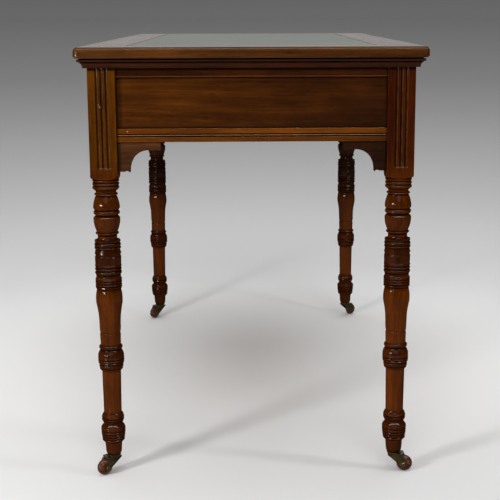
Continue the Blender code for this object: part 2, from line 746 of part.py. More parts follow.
def handle_plate_mesh():
    """Back plate with two posts bored for the handle's pins, local X across, Y up and Z out."""
    half = HANDLE_PLATE_LENGTH / 2
    end = HANDLE_PLATE_HEIGHT / 2
    outline = arc((half - end, 0), (end, end), -90, 90, 8)
    outline += arc((-half + end, 0), (end, end), 90, 270, 8)
    plate = prism_mesh("handle_plate", outline, HANDLE_PLATE_THICKNESS)
    reach = HANDLE_POST_REACH
    knob = HANDLE_POST_RADIUS
    post_outline = [(0, reach + knob)] + arc((0, reach), (knob, knob), 90, -45, 4)[1:]
    post_outline += [(HANDLE_NECK_RADIUS, reach - knob), (HANDLE_NECK_RADIUS, 0), (0, 0)]
    post = turned_mesh("handle_post", post_outline, SMALL_ROUND_SIDES)
    posts = [(post, shift(x=sign * HANDLE_SPAN / 2)) for sign in (1, -1)]
    whole = combined("handle_plate", plate, "UNION", posts)
    bore_radius = (BAIL_RADIUS + BAIL_PLAY) / math.cos(math.pi / SMALL_ROUND_SIDES)
    depth = BAIL_PIN_DEPTH + BAIL_PLAY
    bore_outline_rows = [(0, CUT_OVERRUN), (bore_radius, CUT_OVERRUN), (bore_radius, -depth), (0, -depth)]
    bore = turned_mesh("pin_bore", bore_outline_rows, SMALL_ROUND_SIDES)
    bores = []
    for sign in (1, -1):
        mouth = shift(x=sign * (HANDLE_SPAN / 2 + knob), z=reach)
        bores.append((bore, mouth @ turn(sign * 90, "Y")))
    return combined("handle_plate", whole, "DIFFERENCE", bores)


def add_drawers():
    """Two drawers side by side, each with its box, bottom and drop handle."""
    opening_outer = FRAME_HALF_LENGTH - POST_WIDTH - DRAWER_PLAY
    opening_inner = DIVISION_WIDTH / 2 + DRAWER_PLAY
    half_width = (opening_outer - opening_inner) / 2
    centre = (opening_outer + opening_inner) / 2
    bottom = LOWER_RAIL_TOP + SEAT_GAP
    front_height = OPENING_HEIGHT - SEAT_GAP - DRAWER_PLAY
    front_y = -FRAME_HALF_DEPTH + RAIL_SETBACK
    box_front = front_y + DRAWER_FRONT_THICKNESS + SEAT_GAP
    box_back = FRAME_HALF_DEPTH - RAIL_BACK - DRAWER_BACK_SPACE
    wall = DRAWER_SIDE_THICKNESS
    inner_half = half_width - wall
    front = drawer_front_mesh(half_width, front_height)
    box_outline = [(-half_width, box_front), (-inner_half, box_front), (-inner_half, box_back - wall)]
    box_outline += [(inner_half, box_back - wall), (inner_half, box_front), (half_width, box_front)]
    box_outline += [(half_width, box_back), (-half_width, box_back)]
    box = prism_mesh("drawer_box", box_outline, DRAWER_SIDE_HEIGHT)
    floor_low = bottom + DRAWER_BOTTOM_LIFT
    floor = box_mesh(
        "drawer_bottom",
        (-inner_half + SEAT_GAP, box_front, floor_low),
        (inner_half - SEAT_GAP, box_back - wall - SEAT_GAP, floor_low + DRAWER_BOTTOM_THICKNESS),
    )
    plate = handle_plate_mesh()
    bail = bail_mesh()
    handle_height = bottom + front_height / 2 + HANDLE_RISE
    plate_back = RAIL_SETBACK - SEAT_GAP - HANDLE_PLATE_THICKNESS / 2
    for hand, sign in (("left", -1), ("right", 1)):
        slide = bpy.data.objects.new(f"drawer_{hand}_slide", None)
        slide.location = (sign * centre, 0, 0)
        DESK.objects.link(slide)
        bpy.context.view_layer.update()
        hang = slide.matrix_world @ shift(y=-FRAME_HALF_DEPTH) @ turn(90, "X")
        pin_y = plate_back - HANDLE_POST_REACH - FRAME_HALF_DEPTH
        pieces = (
            ("front", front, "polished_mahogany", hang @ shift(y=bottom, z=-RAIL_SETBACK)),
            ("box", box, "drawer_lining", slide.matrix_world @ shift(z=bottom + DRAWER_SIDE_HEIGHT / 2)),
            ("bottom", floor, "drawer_lining", slide.matrix_world),
            ("handle_plate", plate, "aged_brass", hang @ shift(y=handle_height, z=-plate_back)),
            ("bail", bail, "aged_brass", slide.matrix_world @ shift(y=pin_y, z=handle_height)),
        )
        for name, mesh, finish, place in pieces:
            piece = add_piece(f"drawer_{hand}_{name}", mesh, finish)
            piece.parent = slide
            piece.matrix_world = place


def castor_plate_mesh():
    """Plate under the foot, with the pin that the horn turns on and the pin's riveted end."""
    top = CASTOR_HEIGHT - SEAT_GAP
    plate_bottom = top - CASTOR_PLATE_THICKNESS
    head_top = plate_bottom - HORN_CROWN_THICKNESS - 2 * RUNNING_GAP
    head_bottom = head_top - CASTOR_PIN_HEAD_THICKNESS
    outline = [(0, top), (CASTOR_PLATE_RADIUS, top), (CASTOR_PLATE_RADIUS, plate_bottom)]
    outline += [(CASTOR_PIN_RADIUS, plate_bottom), (CASTOR_PIN_RADIUS, head_top)]
    outline += [(CASTOR_PIN_HEAD_RADIUS, head_top), (CASTOR_PIN_HEAD_RADIUS, head_bottom), (0, head_bottom)]
    return turned_mesh("castor_plate", outline, PLATE_SIDES)


def bore_outline(radius):
    """Outline of a rod longer than a castor, whose flats, not its corners, keep the radius."""
    outer = radius / math.cos(math.pi / SMALL_ROUND_SIDES)
    return [(0, CASTOR_HEIGHT), (outer, CASTOR_HEIGHT), (outer, -CASTOR_HEIGHT), (0, -CASTOR_HEIGHT)]


def horn_mesh():
    """Horn: a crown bored for the pin, carried out over the wheel, and two arms bored for the axle."""
    top = CASTOR_HEIGHT - SEAT_GAP - CASTOR_PLATE_THICKNESS - RUNNING_GAP
    crown_bottom = top - HORN_CROWN_THICKNESS
    crown_outline = [(0, top), (HORN_RADIUS, top), (HORN_RADIUS, crown_bottom), (0, crown_bottom)]
    crown = turned_mesh("horn", crown_outline, PLATE_SIDES)
    half_width = WHEEL_WIDTH / 2 + RUNNING_GAP + HORN_ARM_THICKNESS
    bridge = box_mesh("horn_bridge", (0, -half_width, crown_bottom), (HORN_BRIDGE_LENGTH, half_width, top))
    arm_reach = HORN_RADIUS * HORN_ARM_REACH_SHARE
    outline = [(-arm_reach, top), (-arm_reach, crown_bottom)]
    outline += arc((CASTOR_TRAIL, WHEEL_RADIUS), (HORN_ARM_END_RADIUS, HORN_ARM_END_RADIUS), -150, 30, 7)
    outline += [(HORN_BRIDGE_LENGTH, crown_bottom), (HORN_BRIDGE_LENGTH, top)]
    arm = prism_mesh("horn_arm", outline, HORN_ARM_THICKNESS)
    offset = half_width - HORN_ARM_THICKNESS / 2
    upright = turn(90, "X")
    arms = [(arm, shift(y=sign * offset) @ upright) for sign in (1, -1)]
    joined = combined("horn", crown, "UNION", [(bridge, Matrix())] + arms)
    pin_bore = turned_mesh("horn_pin_bore", bore_outline(CASTOR_PIN_RADIUS + RUNNING_GAP), SMALL_ROUND_SIDES)
    axle_bore = turned_mesh("horn_axle_bore", bore_outline(AXLE_RADIUS + SEAT_GAP), SMALL_ROUND_SIDES)
    cutters = [(pin_bore, Matrix()), (axle_bore, shift(CASTOR_TRAIL, 0, WHEEL_RADIUS) @ upright)]
    return combined("horn", joined, "DIFFERENCE", cutters)


def wheel_mesh():
    """Bowl-shaped wheel with domed sides, its axle along local Z."""
    half = WHEEL_WIDTH / 2
    bore = (AXLE_RADIUS + RUNNING_GAP) / math.cos(math.pi / WHEEL_SIDES)
    boss = WHEEL_RADIUS * WHEEL_BOSS_SHARE
    rim = arc((boss, 0), (WHEEL_RADIUS - boss, half), 72, -72, 8)
    outline = [(bore, half), (boss, half)] + rim + [(boss, -half), (bore, -half), (bore, half)]
    return turned_mesh("wheel", outline, WHEEL_SIDES, 50)


def axle_mesh():
    """Axle pin with a riveted head outside each arm, along local Z."""
    half = WHEEL_WIDTH / 2 + RUNNING_GAP + HORN_ARM_THICKNESS + SEAT_GAP
    head = half + AXLE_HEAD_THICKNESS
    outline = [(0, head), (AXLE_HEAD_RADIUS, head), (AXLE_HEAD_RADIUS, half), (AXLE_RADIUS, half)]
    outline += [(AXLE_RADIUS, -half), (AXLE_HEAD_RADIUS, -half), (AXLE_HEAD_RADIUS, -head), (0, -head)]
    return turned_mesh("axle", outline, SMALL_ROUND_SIDES)


def add_castors():
    """A castor under each leg, swivelled as it last rolled."""
    plate = castor_plate_mesh()
    horn = horn_mesh()
    wheel = wheel_mesh()
    axle = axle_mesh()
    for corner, (x_sign, y_sign, _, trailing) in CORNERS.items():
        pivot = bpy.data.objects.new(f"castor_{corner}_pivot", None)
        pivot.matrix_world = shift(x_sign * POST_X, y_sign * POST_Y) @ turn(trailing)
        DESK.objects.link(pivot)
        at_axle = pivot.matrix_world @ shift(CASTOR_TRAIL, 0, WHEEL_RADIUS) @ turn(90, "X")
        pieces = (
            ("castor_plate", plate, "aged_brass", pivot.matrix_world),
            ("castor_horn", horn, "aged_brass", pivot.matrix_world),
            ("castor_wheel", wheel, "brown_ceramic", at_axle),
            ("castor_axle", axle, "aged_brass", at_axle),
        )
        for name, mesh, finish, place in pieces:
            piece = add_piece(f"{name}_{corner}", mesh, finish)
            piece.parent = pivot
            piece.matrix_world = place


add_legs()
add_top()
add_mouldings()
for desk_side, piece_prefix in (("right", "end_right"), ("left", "end_left"), ("back", "back")):
    add_rails(desk_side, piece_prefix)
    add_panel(desk_side, piece_prefix)
add_rails("front", "front")
add_division()
add_brackets()
add_runners()
add_drawers()
add_castors()
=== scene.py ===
"""Writing desk, dressed: polished mahogany, a leather-lined top, brass fittings and castors.

Metres, +Z up. +X runs along the desk and the camera looks at its +X end, along -X.
"""

import json
import math

import bmesh
import bpy
from mathutils import Matrix, Vector


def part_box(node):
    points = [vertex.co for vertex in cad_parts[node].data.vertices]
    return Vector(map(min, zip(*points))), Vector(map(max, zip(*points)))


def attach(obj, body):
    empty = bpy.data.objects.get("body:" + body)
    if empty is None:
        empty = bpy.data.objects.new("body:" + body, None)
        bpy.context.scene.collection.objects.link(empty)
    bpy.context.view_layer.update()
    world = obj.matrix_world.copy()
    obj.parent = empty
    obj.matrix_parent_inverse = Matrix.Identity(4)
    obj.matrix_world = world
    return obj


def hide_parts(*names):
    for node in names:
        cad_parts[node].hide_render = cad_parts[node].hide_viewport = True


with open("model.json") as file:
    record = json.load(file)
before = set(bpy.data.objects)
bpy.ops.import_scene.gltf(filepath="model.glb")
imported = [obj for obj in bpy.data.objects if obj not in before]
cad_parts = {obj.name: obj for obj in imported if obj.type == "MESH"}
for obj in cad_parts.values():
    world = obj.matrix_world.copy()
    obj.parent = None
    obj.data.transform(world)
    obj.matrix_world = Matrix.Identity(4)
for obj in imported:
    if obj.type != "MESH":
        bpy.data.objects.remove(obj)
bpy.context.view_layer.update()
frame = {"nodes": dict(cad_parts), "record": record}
NODES = frame["nodes"]
BODY_OF = {node: body for body, nodes in frame["record"]["behaviour"]["bodies"].items() for node in nodes}

# Camera, from the desk's corners in the photograph; its angles are the yaw, pitch and roll in degrees
PHOTO_PIXELS = 500
FOCAL_PIXELS = 1171.3
AXIS_SHIFT_PIXELS = 20.0
SENSOR_MM = 36.0
CAMERA_PLACE = (2.5658, -0.0023, 0.8197)
CAMERA_ANGLES = (0.922, 11.522, -0.18)
CLIP_START = 0.05
CLIP_END = 300

# Sizes that the finer pieces share with the solids they stand for
DESK_LENGTH = 1.1964
DESK_DEPTH = 0.5954
POST_HALF = 0.0235
POST_X = 0.554
POST_Y = 0.2535
CASTOR_HEIGHT = 0.0355
TURNED_LENGTH = 0.5025
TURNING_TOP = CASTOR_HEIGHT + TURNED_LENGTH
SHOULDER_LENGTH = 0.01
FLUTE_PITCH = 0.0083
FLUTE_RADIUS = 0.0024
FLUTE_DEPTH = 0.0023
FLUTE_STOP_HEIGHT = 0.556
RAIL_FOOT_HEIGHT = 0.0085
RAIL_BEAD_HEIGHT = 0.0022
RAIL_GROOVE_HEIGHT = 0.0017
RAIL_GROOVE_DEPTH = 0.005
BRACKET_LENGTH = 0.073
BRACKET_DROP = 0.052
BRACKET_THICKNESS = 0.016
BRACKET_ARM_HEIGHT = 0.014
BRACKET_LEG_WIDTH = 0.0205
BRACKET_ARCH_LENGTH = 0.031
BRACKET_NOTCH_LENGTH = 0.008
BRACKET_NOTCH_HEIGHT = 0.0025
WHEEL_RADIUS = 0.0145
WHEEL_WIDTH = 0.017
WHEEL_BOSS = WHEEL_RADIUS * 0.33
CASTOR_TRAIL = 0.02
AXLE_RADIUS = 0.0018
AXLE_HEAD_RADIUS = 0.0034
AXLE_HEAD_START = 0.0117
AXLE_HEAD_HEIGHT = 0.001
BORDER_WIDTH = 0.0812

# Sizes of what the solids are too plain for
POST_ARRIS = 0.0009
RAIL_ARRIS = 0.0005
RAIL_TOP_ARRIS = 0.0012
RAIL_BEAD_INSET = 0.0016
RAIL_BEAD_DEPTH = 0.0014
AXLE_PLAY = 0.0005
WHEEL_RIM_ANGLE = 72
KEYHOLE_RADIUS = 0.002
KEYHOLE_FOOT_HALF = 0.0016
KEYHOLE_DROP = 0.0062
KEYHOLE_DEPTH = 0.016
KEYHOLE_BELOW_EDGE = 0.0145
DRAWER_FIELD_GAP = 0.0003
SHIELD_DROP = 0.0018
SHIELD_RADII = (0.007, 0.0098)
SHIELD_THICKNESS = 0.0012
SHIELD_HOLE_SCALE = 1.15
JOINT_WIDTH = 0.0016
JOINT_THICKNESS = 0.0004
JOINT_DEPTH = 0.00023

# Widths of the rounding on edges
THIN_EDGE = 0.0002
FINE_EDGE = 0.0003
CRISP_EDGE = 0.0004
PLAIN_EDGE = 0.0005
SOFT_EDGE = 0.0006
WORN_EDGE = 0.0007

# Angles in degrees, above the first two of which an edge is rounded, and above the others crisp
ROUNDED_ANGLE = 40
SHIELD_ROUNDED_ANGLE = 60
CREASE = 35
LEG_CREASE = 32
WIDE_CREASE = 50
BAIL_CREASE = 60

# Corner names with their signs, the turn of the leg and the way the castor's wheel trails
CORNERS = {
    "back_right": (1, 1, 0, 77),
    "back_left": (-1, 1, 90, 130),
    "front_left": (-1, -1, 180, -45),
    "front_right": (1, -1, 270, -53),
}

# The turning from the square down to the foot: form, share of the turned length, and as shares of
# half the post's width the radius it ends on and, for a bead or cove, the radius at its middle
TURNING_START_SHARE = 0.95
TURNING_SHARES = (
    ("bead", 0.0124, 0.95, 0.99), ("bead", 0.012, 0.95, 0.99), ("bead", 0.0126, 0.945, 0.995),
    ("hollow", 0.0074, 0.757), ("band", 0.0046, 0.757), ("bead", 0.009, 0.8, 0.872), ("band", 0.005, 0.813),
    ("round", 0.0379, 0.983), ("fall", 0.0082, 0.877), ("bead", 0.0177, 0.877, 0.979),
    ("band", 0.004, 0.877), ("round", 0.0074, 0.983), ("band", 0.0056, 0.983), ("fall", 0.0413, 0.774),
    ("bead", 0.011, 0.745, 0.866), ("cove", 0.0179, 0.77, 0.711), ("band", 0.0004, 0.945),
    ("bead", 0.0084, 0.936, 0.962), ("bead", 0.015, 0.957, 0.983), ("bead", 0.008, 0.97, 0.99),
    ("band", 0.0169, 0.983), ("cove", 0.0106, 0.975, 0.919), ("band", 0.0269, 0.962),
    ("bead", 0.0112, 0.957, 0.991), ("bead", 0.0112, 0.957, 0.991), ("bead", 0.014, 0.957, 0.995),
    ("cove", 0.0132, 0.957, 0.902), ("bead", 0.0091, 0.964, 0.995), ("bead", 0.0091, 0.964, 0.995),
    ("bead", 0.0091, 0.964, 0.995), ("bead", 0.0091, 0.95, 0.99), ("cove", 0.011, 0.936, 0.906),
    ("round", 0.0239, 0.995), ("band", 0.01, 0.995), ("fall", 0.0144, 0.955), ("hollow", 0.0558, 0.809),
    ("band", 0.0404, 0.783), ("cove", 0.01, 0.783, 0.74), ("band", 0.0379, 0.757),
    ("bead", 0.0169, 0.813, 0.883), ("band", 0.003, 0.813), ("round", 0.0199, 0.974),
    ("cove", 0.005, 0.972, 0.955), ("bead", 0.009, 0.966, 0.987), ("bead", 0.009, 0.96, 0.983),
    ("bead", 0.008, 0.905, 0.968), ("bead", 0.016, 0.885, 0.91), ("fall", 0.01, 0.711),
    ("band", 0.1552, 0.672), ("hollow", 0.011, 0.809), ("bead", 0.01, 0.826, 0.855),
    ("bead", 0.01, 0.809, 0.851), ("fall", 0.007, 0.706), ("band", 0.005, 0.711), ("round", 0.014, 0.919),
    ("bead", 0.011, 0.915, 0.932), ("bead", 0.01, 0.902, 0.923), ("bead", 0.01, 0.872, 0.906),
    ("bead", 0.01, 0.834, 0.868), ("bead", 0.01, 0.723, 0.845), ("hollow", 0.01, 0.638),
    ("band", 0.0264, 0.604), ("fall", 0.014, 0.468),
)

# The groove between beads: its depth by half the post's width, and its most by the bead's length
GROOVE_SHARE = 0.1
GROOVE_LIMIT_SHARE = 0.42

# Fineness of the finer pieces: sides of turned ones, and steps along curves
LEG_SIDES = 56
FLUTE_SIDES = 28
WHEEL_SIDES = 48
AXLE_SIDES = 24
BEAD_STEPS = 6
FORM_STEPS = 5
SHOULDER_STEPS = 10
ARRIS_STEPS = 3
SMALL_ARRIS_STEPS = 2
CURVE_STEPS = 8
ARCH_STEPS = 24
RIM_STEPS = 20
KEYHOLE_STEPS = 14
SHIELD_STEPS = 40
EDGE_SEGMENTS = 2

# Points closer than this are one, and facets flatter than these angles in degrees join into one face
MERGE_DISTANCE = 0.00001
FLAT_OUTLINE_ANGLE = 1
FLAT_SOLID_ANGLE = 0.5
CUT_OVERRUN = 0.004
FLUTE_CUTTER_LENGTH = 0.3


def make_camera():
    """Camera at the photograph's place, with its lens and frame."""
    yaw, pitch, roll = (math.radians(angle) for angle in CAMERA_ANGLES)
    forward = Vector((-math.cos(yaw) * math.cos(pitch), math.sin(yaw) * math.cos(pitch), -math.sin(pitch)))
    level = Vector((math.sin(yaw), math.cos(yaw), 0))
    above = level.cross(forward)
    right = level * math.cos(roll) + above * math.sin(roll)
    matrix = Matrix((right, right.cross(forward), -forward)).transposed().to_4x4()
    matrix.translation = CAMERA_PLACE
    data = bpy.data.cameras.new("camera")
    data.sensor_width = SENSOR_MM
    data.lens = FOCAL_PIXELS / PHOTO_PIXELS * SENSOR_MM
    data.shift_x = -AXIS_SHIFT_PIXELS / PHOTO_PIXELS
    data.clip_start = CLIP_START
    data.clip_end = CLIP_END
    camera = add_object("camera", data)
    camera.matrix_world = matrix
    bpy.context.scene.camera = camera


# Meshes


def add_object(name, data):
    """A new object in the scene."""
    item = bpy.data.objects.new(name, data)
    bpy.context.scene.collection.objects.link(item)
    return item


def evaluated(piece):
    """An object's mesh with its modifiers applied."""
    bpy.context.view_layer.update()
    graph = bpy.context.evaluated_depsgraph_get()
    return bpy.data.meshes.new_from_object(piece.evaluated_get(graph), depsgraph=graph)


def shift(x=0, y=0, z=0):
    """Shorthand for a move."""
    return Matrix.Translation((x, y, z))


def turn(degrees, axis="Z"):
    """Shorthand for a turn about one axis."""
    return Matrix.Rotation(math.radians(degrees), 4, axis)


def arc(centre, radii, start, end, steps):
    """Points on an elliptical arc with both ends, its angles in degrees."""
    angles = [math.radians(start + (end - start) * i / steps) for i in range(steps + 1)]
    return [(centre[0] + radii[0] * math.cos(a), centre[1] + radii[1] * math.sin(a)) for a in angles]


def mesh_from(shape, name):
    """Turn a bmesh into a mesh, welded and with its faces outwards."""
    bmesh.ops.remove_doubles(shape, verts=shape.verts, dist=MERGE_DISTANCE)
    bmesh.ops.dissolve_degenerate(shape, edges=shape.edges, dist=MERGE_DISTANCE)
    bmesh.ops.recalc_face_normals(shape, faces=shape.faces)
    mesh = bpy.data.meshes.new(name)
    shape.to_mesh(mesh)
    shape.free()
    return mesh


def lathe(name, rows, sides):
    """Turn an outline of (radius, height) rows about local Z."""
    shape = bmesh.new()
    rings = []
    for radius, height in rows:
        if radius == 0:
            rings.append([shape.verts.new((0, 0, height))] * sides)
            continue
        ring = []
        for i in range(sides):
            angle = 2 * math.pi * i / sides
            ring.append(shape.verts.new((radius * math.cos(angle), radius * math.sin(angle), height)))
        rings.append(ring)
    for upper, lower in zip(rings, rings[1:]):
        for i in range(sides):
            j = (i + 1) % sides
            corners = []
            for vert in (upper[i], upper[j], lower[j], lower[i]):
                if vert not in corners:
                    corners.append(vert)
            if len(corners) > 2:
                shape.faces.new(corners)
    return mesh_from(shape, name)


def prism(name, outline, thickness, holes=()):
    """Extrude a flat outline in local XY half its thickness to each side, with holes."""
    curve = bpy.data.curves.new(name, "CURVE")
    curve.dimensions = "2D"
    curve.fill_mode = "BOTH"
    curve.extrude = thickness / 2
    for line in (outline, *holes):
        spline = curve.splines.new("POLY")
        spline.points.add(len(line) - 1)
        for point, (x, y) in zip(spline.points, line):
            point.co = (x, y, 0, 1)
        spline.use_cyclic_u = True
    source = bpy.data.objects.new(name, curve)
    shape = bmesh.new()
    shape.from_mesh(source.to_mesh())
    flat = math.radians(FLAT_OUTLINE_ANGLE)
    bmesh.ops.dissolve_limit(shape, angle_limit=flat, verts=shape.verts, edges=shape.edges)
    source.to_mesh_clear()
    bpy.data.objects.remove(source)
    return mesh_from(shape, name)


def cut(name, base, operation, others):
    """Cut placed meshes out of a mesh, or keep what it shares with them."""
    piece = add_object(name, base)
    helpers = []
    for mesh, place in others:
        helper = add_object(f"{name}_helper", mesh)
        helper.matrix_world = place
        boolean = piece.modifiers.new(operation, "BOOLEAN")
        boolean.operation = operation
        boolean.solver = "EXACT"
        boolean.object = helper
        helpers.append(helper)
    shape = bmesh.new()
    shape.from_mesh(evaluated(piece))
    for old in (piece, *helpers):
        bpy.data.objects.remove(old)
    return mesh_from(shape, name)


def rounded(mesh, width, angle=ROUNDED_ANGLE):
    """Round a mesh's convex edges that are sharper than an angle."""
    shape = bmesh.new()
    shape.from_mesh(mesh)
    limit = math.radians(angle)
    rim = [e for e in shape.edges if len(e.link_faces) == 2 and e.calc_face_angle_signed(0) > limit]
    settings = {"segments": EDGE_SEGMENTS, "profile": 0.5, "affect": "EDGES", "clamp_overlap": True}
    bmesh.ops.bevel(shape, geom=rim, offset=width, **settings)
    return mesh_from(shape, mesh.name)


def copied(node):
    """Copy a solid's mesh with its flat faces whole again."""
    source = NODES[node].data
    mesh = bpy.data.meshes.new(node)
    mesh.from_pydata([v.co for v in source.vertices], [], [list(p.vertices) for p in source.polygons])
    shape = bmesh.new()
    shape.from_mesh(mesh)
    bmesh.ops.remove_doubles(shape, verts=shape.verts, dist=MERGE_DISTANCE)
    flat = math.radians(FLAT_SOLID_ANGLE)
    bmesh.ops.dissolve_limit(shape, angle_limit=flat, verts=shape.verts, edges=shape.edges)
    return mesh_from(shape, node)


def settle(mesh, low):
    """Move a mesh so that its box starts at a point."""
    spots = [v.co for v in mesh.vertices]
    mesh.transform(Matrix.Translation([low[i] - min(spot[i] for spot in spots) for i in range(3)]))


def shaded(mesh, crease=CREASE):
    """Shade a mesh smooth, with crisp creases and flat faces that stay flat."""
    mesh.shade_smooth()
    mesh.set_sharp_from_angle(angle=math.radians(crease))
    piece = add_object("shading", mesh)
    weighted = piece.modifiers.new("weighted", "WEIGHTED_NORMAL")
    weighted.keep_sharp = True
    result = evaluated(piece)
    bpy.data.objects.remove(piece)
    result.materials.clear()
    return result


def place_piece(name, mesh, material, body, stands_for=()):
    """Put a finished mesh on its body, for the solids that it stands for."""
    mesh.materials.append(material)
    piece = add_object(name, mesh)
    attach(piece, body)
    if stands_for:
        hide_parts(*stands_for)


def dress(node, material, mesh, crease=CREASE):
    """Replace one solid by a finer mesh."""
    place_piece(f"fine_{node}", shaded(mesh, crease), material, BODY_OF[node], (node,))


def soften(node, material, edge=PLAIN_EDGE, crease=CREASE):
    """Replace one solid by a copy with rounded edges."""
    dress(node, material, rounded(copied(node), edge), crease)


# Legs, brackets, rails and castors


def turned_rows():
    """Expand the turned forms into (radius, height) rows, from the top down."""
    height = TURNING_TOP
    radius = TURNING_START_SHARE * POST_HALF
    rows = [(radius, height)]
    for form, length_share, end_share, *middle_share in TURNING_SHARES:
        drop = length_share * TURNED_LENGTH
        end = end_share * POST_HALF
        middle = sum(middle_share) * POST_HALF
        groove = min(GROOVE_SHARE * POST_HALF, GROOVE_LIMIT_SHARE * drop) if form == "bead" else 0
        steps = {"band": 1, "bead": BEAD_STEPS}.get(form, FORM_STEPS)
        for i in range(0 if form == "bead" else 1, steps + 1):
            turn_by = math.pi * i / steps
            t = i / steps
            blend = t
            bulge = 0
            if form == "bead":
                t = (1 - math.cos(turn_by)) / 2
                blend = t
                bulge = (middle - (radius + end) / 2 + groove) * math.sin(turn_by) - groove
            elif form == "cove":
                bulge = (middle - (radius + end) / 2) * math.sin(turn_by)
            elif form in ("round", "hollow"):
                blend = math.sin(math.pi / 2 * t)
            elif form == "fall":
                blend = 1 - math.cos(math.pi / 2 * t)
            rows.append((radius + (end - radius) * blend + bulge, height - drop * t))
        height -= drop
        radius = end
    return rows


def leg_mesh():
    """Post and turned leg in one, its flutes on its +X and +Y faces."""
    frame_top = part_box("leg_back_right")[1].z
    start = TURNING_START_SHARE * POST_HALF
    corner = POST_HALF * math.sqrt(2)
    clear = corner + CUT_OVERRUN
    shoulder_top = TURNING_TOP + SHOULDER_LENGTH
    rows = [(0, frame_top + CUT_OVERRUN), (clear, frame_top + CUT_OVERRUN), (clear, shoulder_top)]
    rows += arc((start, shoulder_top), (corner - start, SHOULDER_LENGTH), 0, -90, SHOULDER_STEPS)[:-1]
    rows += turned_rows()
    rows.append((0, CASTOR_HEIGHT))
    spindle = lathe("spindle", rows, LEG_SIDES)
    outline = []
    inner = POST_HALF - POST_ARRIS
    for i, (x, y) in enumerate(((1, 1), (-1, 1), (-1, -1), (1, -1))):
        outline += arc((x * inner, y * inner), (POST_ARRIS, POST_ARRIS), 90 * i, 90 * i + 90, ARRIS_STEPS)
    length = frame_top - CASTOR_HEIGHT + CUT_OVERRUN
    blank = prism("blank", outline, length)
    leg = cut("leg", spindle, "INTERSECT", [(blank, shift(z=frame_top - length / 2))])
    flute_rows = [(0, FLUTE_CUTTER_LENGTH), (FLUTE_RADIUS, FLUTE_CUTTER_LENGTH)]
    flute_rows += arc((0, FLUTE_RADIUS), (FLUTE_RADIUS, FLUTE_RADIUS), 0, -90, BEAD_STEPS)[:-1]
    flute_rows.append((0, 0))
    flute = lathe("flute", flute_rows, FLUTE_SIDES)
    outside = POST_HALF + FLUTE_RADIUS - FLUTE_DEPTH
    flutes = []
    for i in (-1, 0, 1):
        flutes.append((flute, shift(outside, i * FLUTE_PITCH, FLUTE_STOP_HEIGHT)))
        flutes.append((flute, shift(i * FLUTE_PITCH, outside, FLUTE_STOP_HEIGHT)))
    return cut("leg", leg, "DIFFERENCE", flutes)


def add_legs():
    """Four legs, fluted on the faces that look out."""
    mesh = leg_mesh()
    for corner, (x_sign, y_sign, degrees, _) in CORNERS.items():
        leg = mesh.copy()
        leg.transform(shift(x_sign * POST_X, y_sign * POST_Y) @ turn(degrees))
        dress(f"leg_{corner}", WOOD[f"leg_{corner}"], leg, crease=LEG_CREASE)


def bracket_mesh():
    """Shaped bracket: local X away from the post, local Y up to the rail."""
    arm = BRACKET_DROP - BRACKET_ARM_HEIGHT
    rise = BRACKET_NOTCH_HEIGHT
    notch_end = BRACKET_LEG_WIDTH - rise / 2
    notch_middle = notch_end - BRACKET_NOTCH_LENGTH / 2
    arch_centre = (BRACKET_LEG_WIDTH + BRACKET_ARCH_LENGTH, rise)
    outline = [(0, rise / 2), (notch_end - BRACKET_NOTCH_LENGTH, rise / 2)]
    outline += arc((notch_middle, 0), (BRACKET_NOTCH_LENGTH / 2, rise), 150, 30, CURVE_STEPS)
    outline += [(notch_end, 0), (BRACKET_LEG_WIDTH, 0)]
    outline += arc(arch_centre, (BRACKET_ARCH_LENGTH, arm - rise), 180, 90, ARCH_STEPS)
    outline += [(BRACKET_LENGTH, arm), (BRACKET_LENGTH, BRACKET_DROP), (0, BRACKET_DROP)]
    return rounded(prism("bracket", outline, BRACKET_THICKNESS), SOFT_EDGE)


def add_brackets():
    """Two brackets under each lower rail, over the places of their solids."""
    mesh = bracket_mesh()
    sides = (("front", 0, "X"), ("right", 90, "Y"), ("back", 180, "X"), ("left", 270, "Y"))
    for side, degrees, timber in sides:
        for hand in ("left", "right"):
            node = f"bracket_{side}_{hand}"
            along = turn(degrees) @ turn(90, "X")
            if hand == "right":
                along = along @ turn(180, "Y")
            bracket = mesh.copy()
            bracket.transform(along)
            settle(bracket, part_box(node)[0])
            # The bracket by the right-hand post takes a darker copy of the bracket wood: painted shade of
            # light falling from the left
            wood_name = "dark" if node == "bracket_right_right" else timber
            dress(node, WOOD[f"bracket_{wood_name}"], bracket)


def rail_mesh(node, degrees):
    """Lower rail with a bead between two deep grooves, over its solid."""
    low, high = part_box(node)
    size = high - low
    length = max(size.x, size.y)
    front = min(size.x, size.y)
    groove = front - RAIL_GROOVE_DEPTH
    bead_low = RAIL_FOOT_HEIGHT + RAIL_GROOVE_HEIGHT
    bead_high = bead_low + RAIL_BEAD_HEIGHT
    top_groove = bead_high + RAIL_GROOVE_HEIGHT
    inner = front - RAIL_ARRIS
    small = (RAIL_ARRIS, RAIL_ARRIS)
    bead_centre = (front - RAIL_BEAD_INSET, (bead_low + bead_high) / 2)
    top_centre = (front - RAIL_TOP_ARRIS, size.z - RAIL_TOP_ARRIS)
    outline = [(0, 0)] + arc((inner, RAIL_ARRIS), small, -90, 0, SMALL_ARRIS_STEPS)
    outline += arc((inner, RAIL_FOOT_HEIGHT - RAIL_ARRIS), small, 0, 90, ARRIS_STEPS)
    outline += [(groove, RAIL_FOOT_HEIGHT), (groove, bead_low)]
    outline += arc(bead_centre, (RAIL_BEAD_DEPTH, RAIL_BEAD_HEIGHT / 2), -90, 90, CURVE_STEPS)
    outline += [(groove, bead_high), (groove, top_groove)]
    outline += arc((inner, top_groove + RAIL_ARRIS), small, -90, 0, ARRIS_STEPS)
    outline += arc(top_centre, (RAIL_TOP_ARRIS, RAIL_TOP_ARRIS), 0, 90, FORM_STEPS) + [(0, size.z)]
    rail = prism(node, outline, length)
    rail.transform(turn(degrees) @ turn(90, "X"))
    settle(rail, low)
    return rail


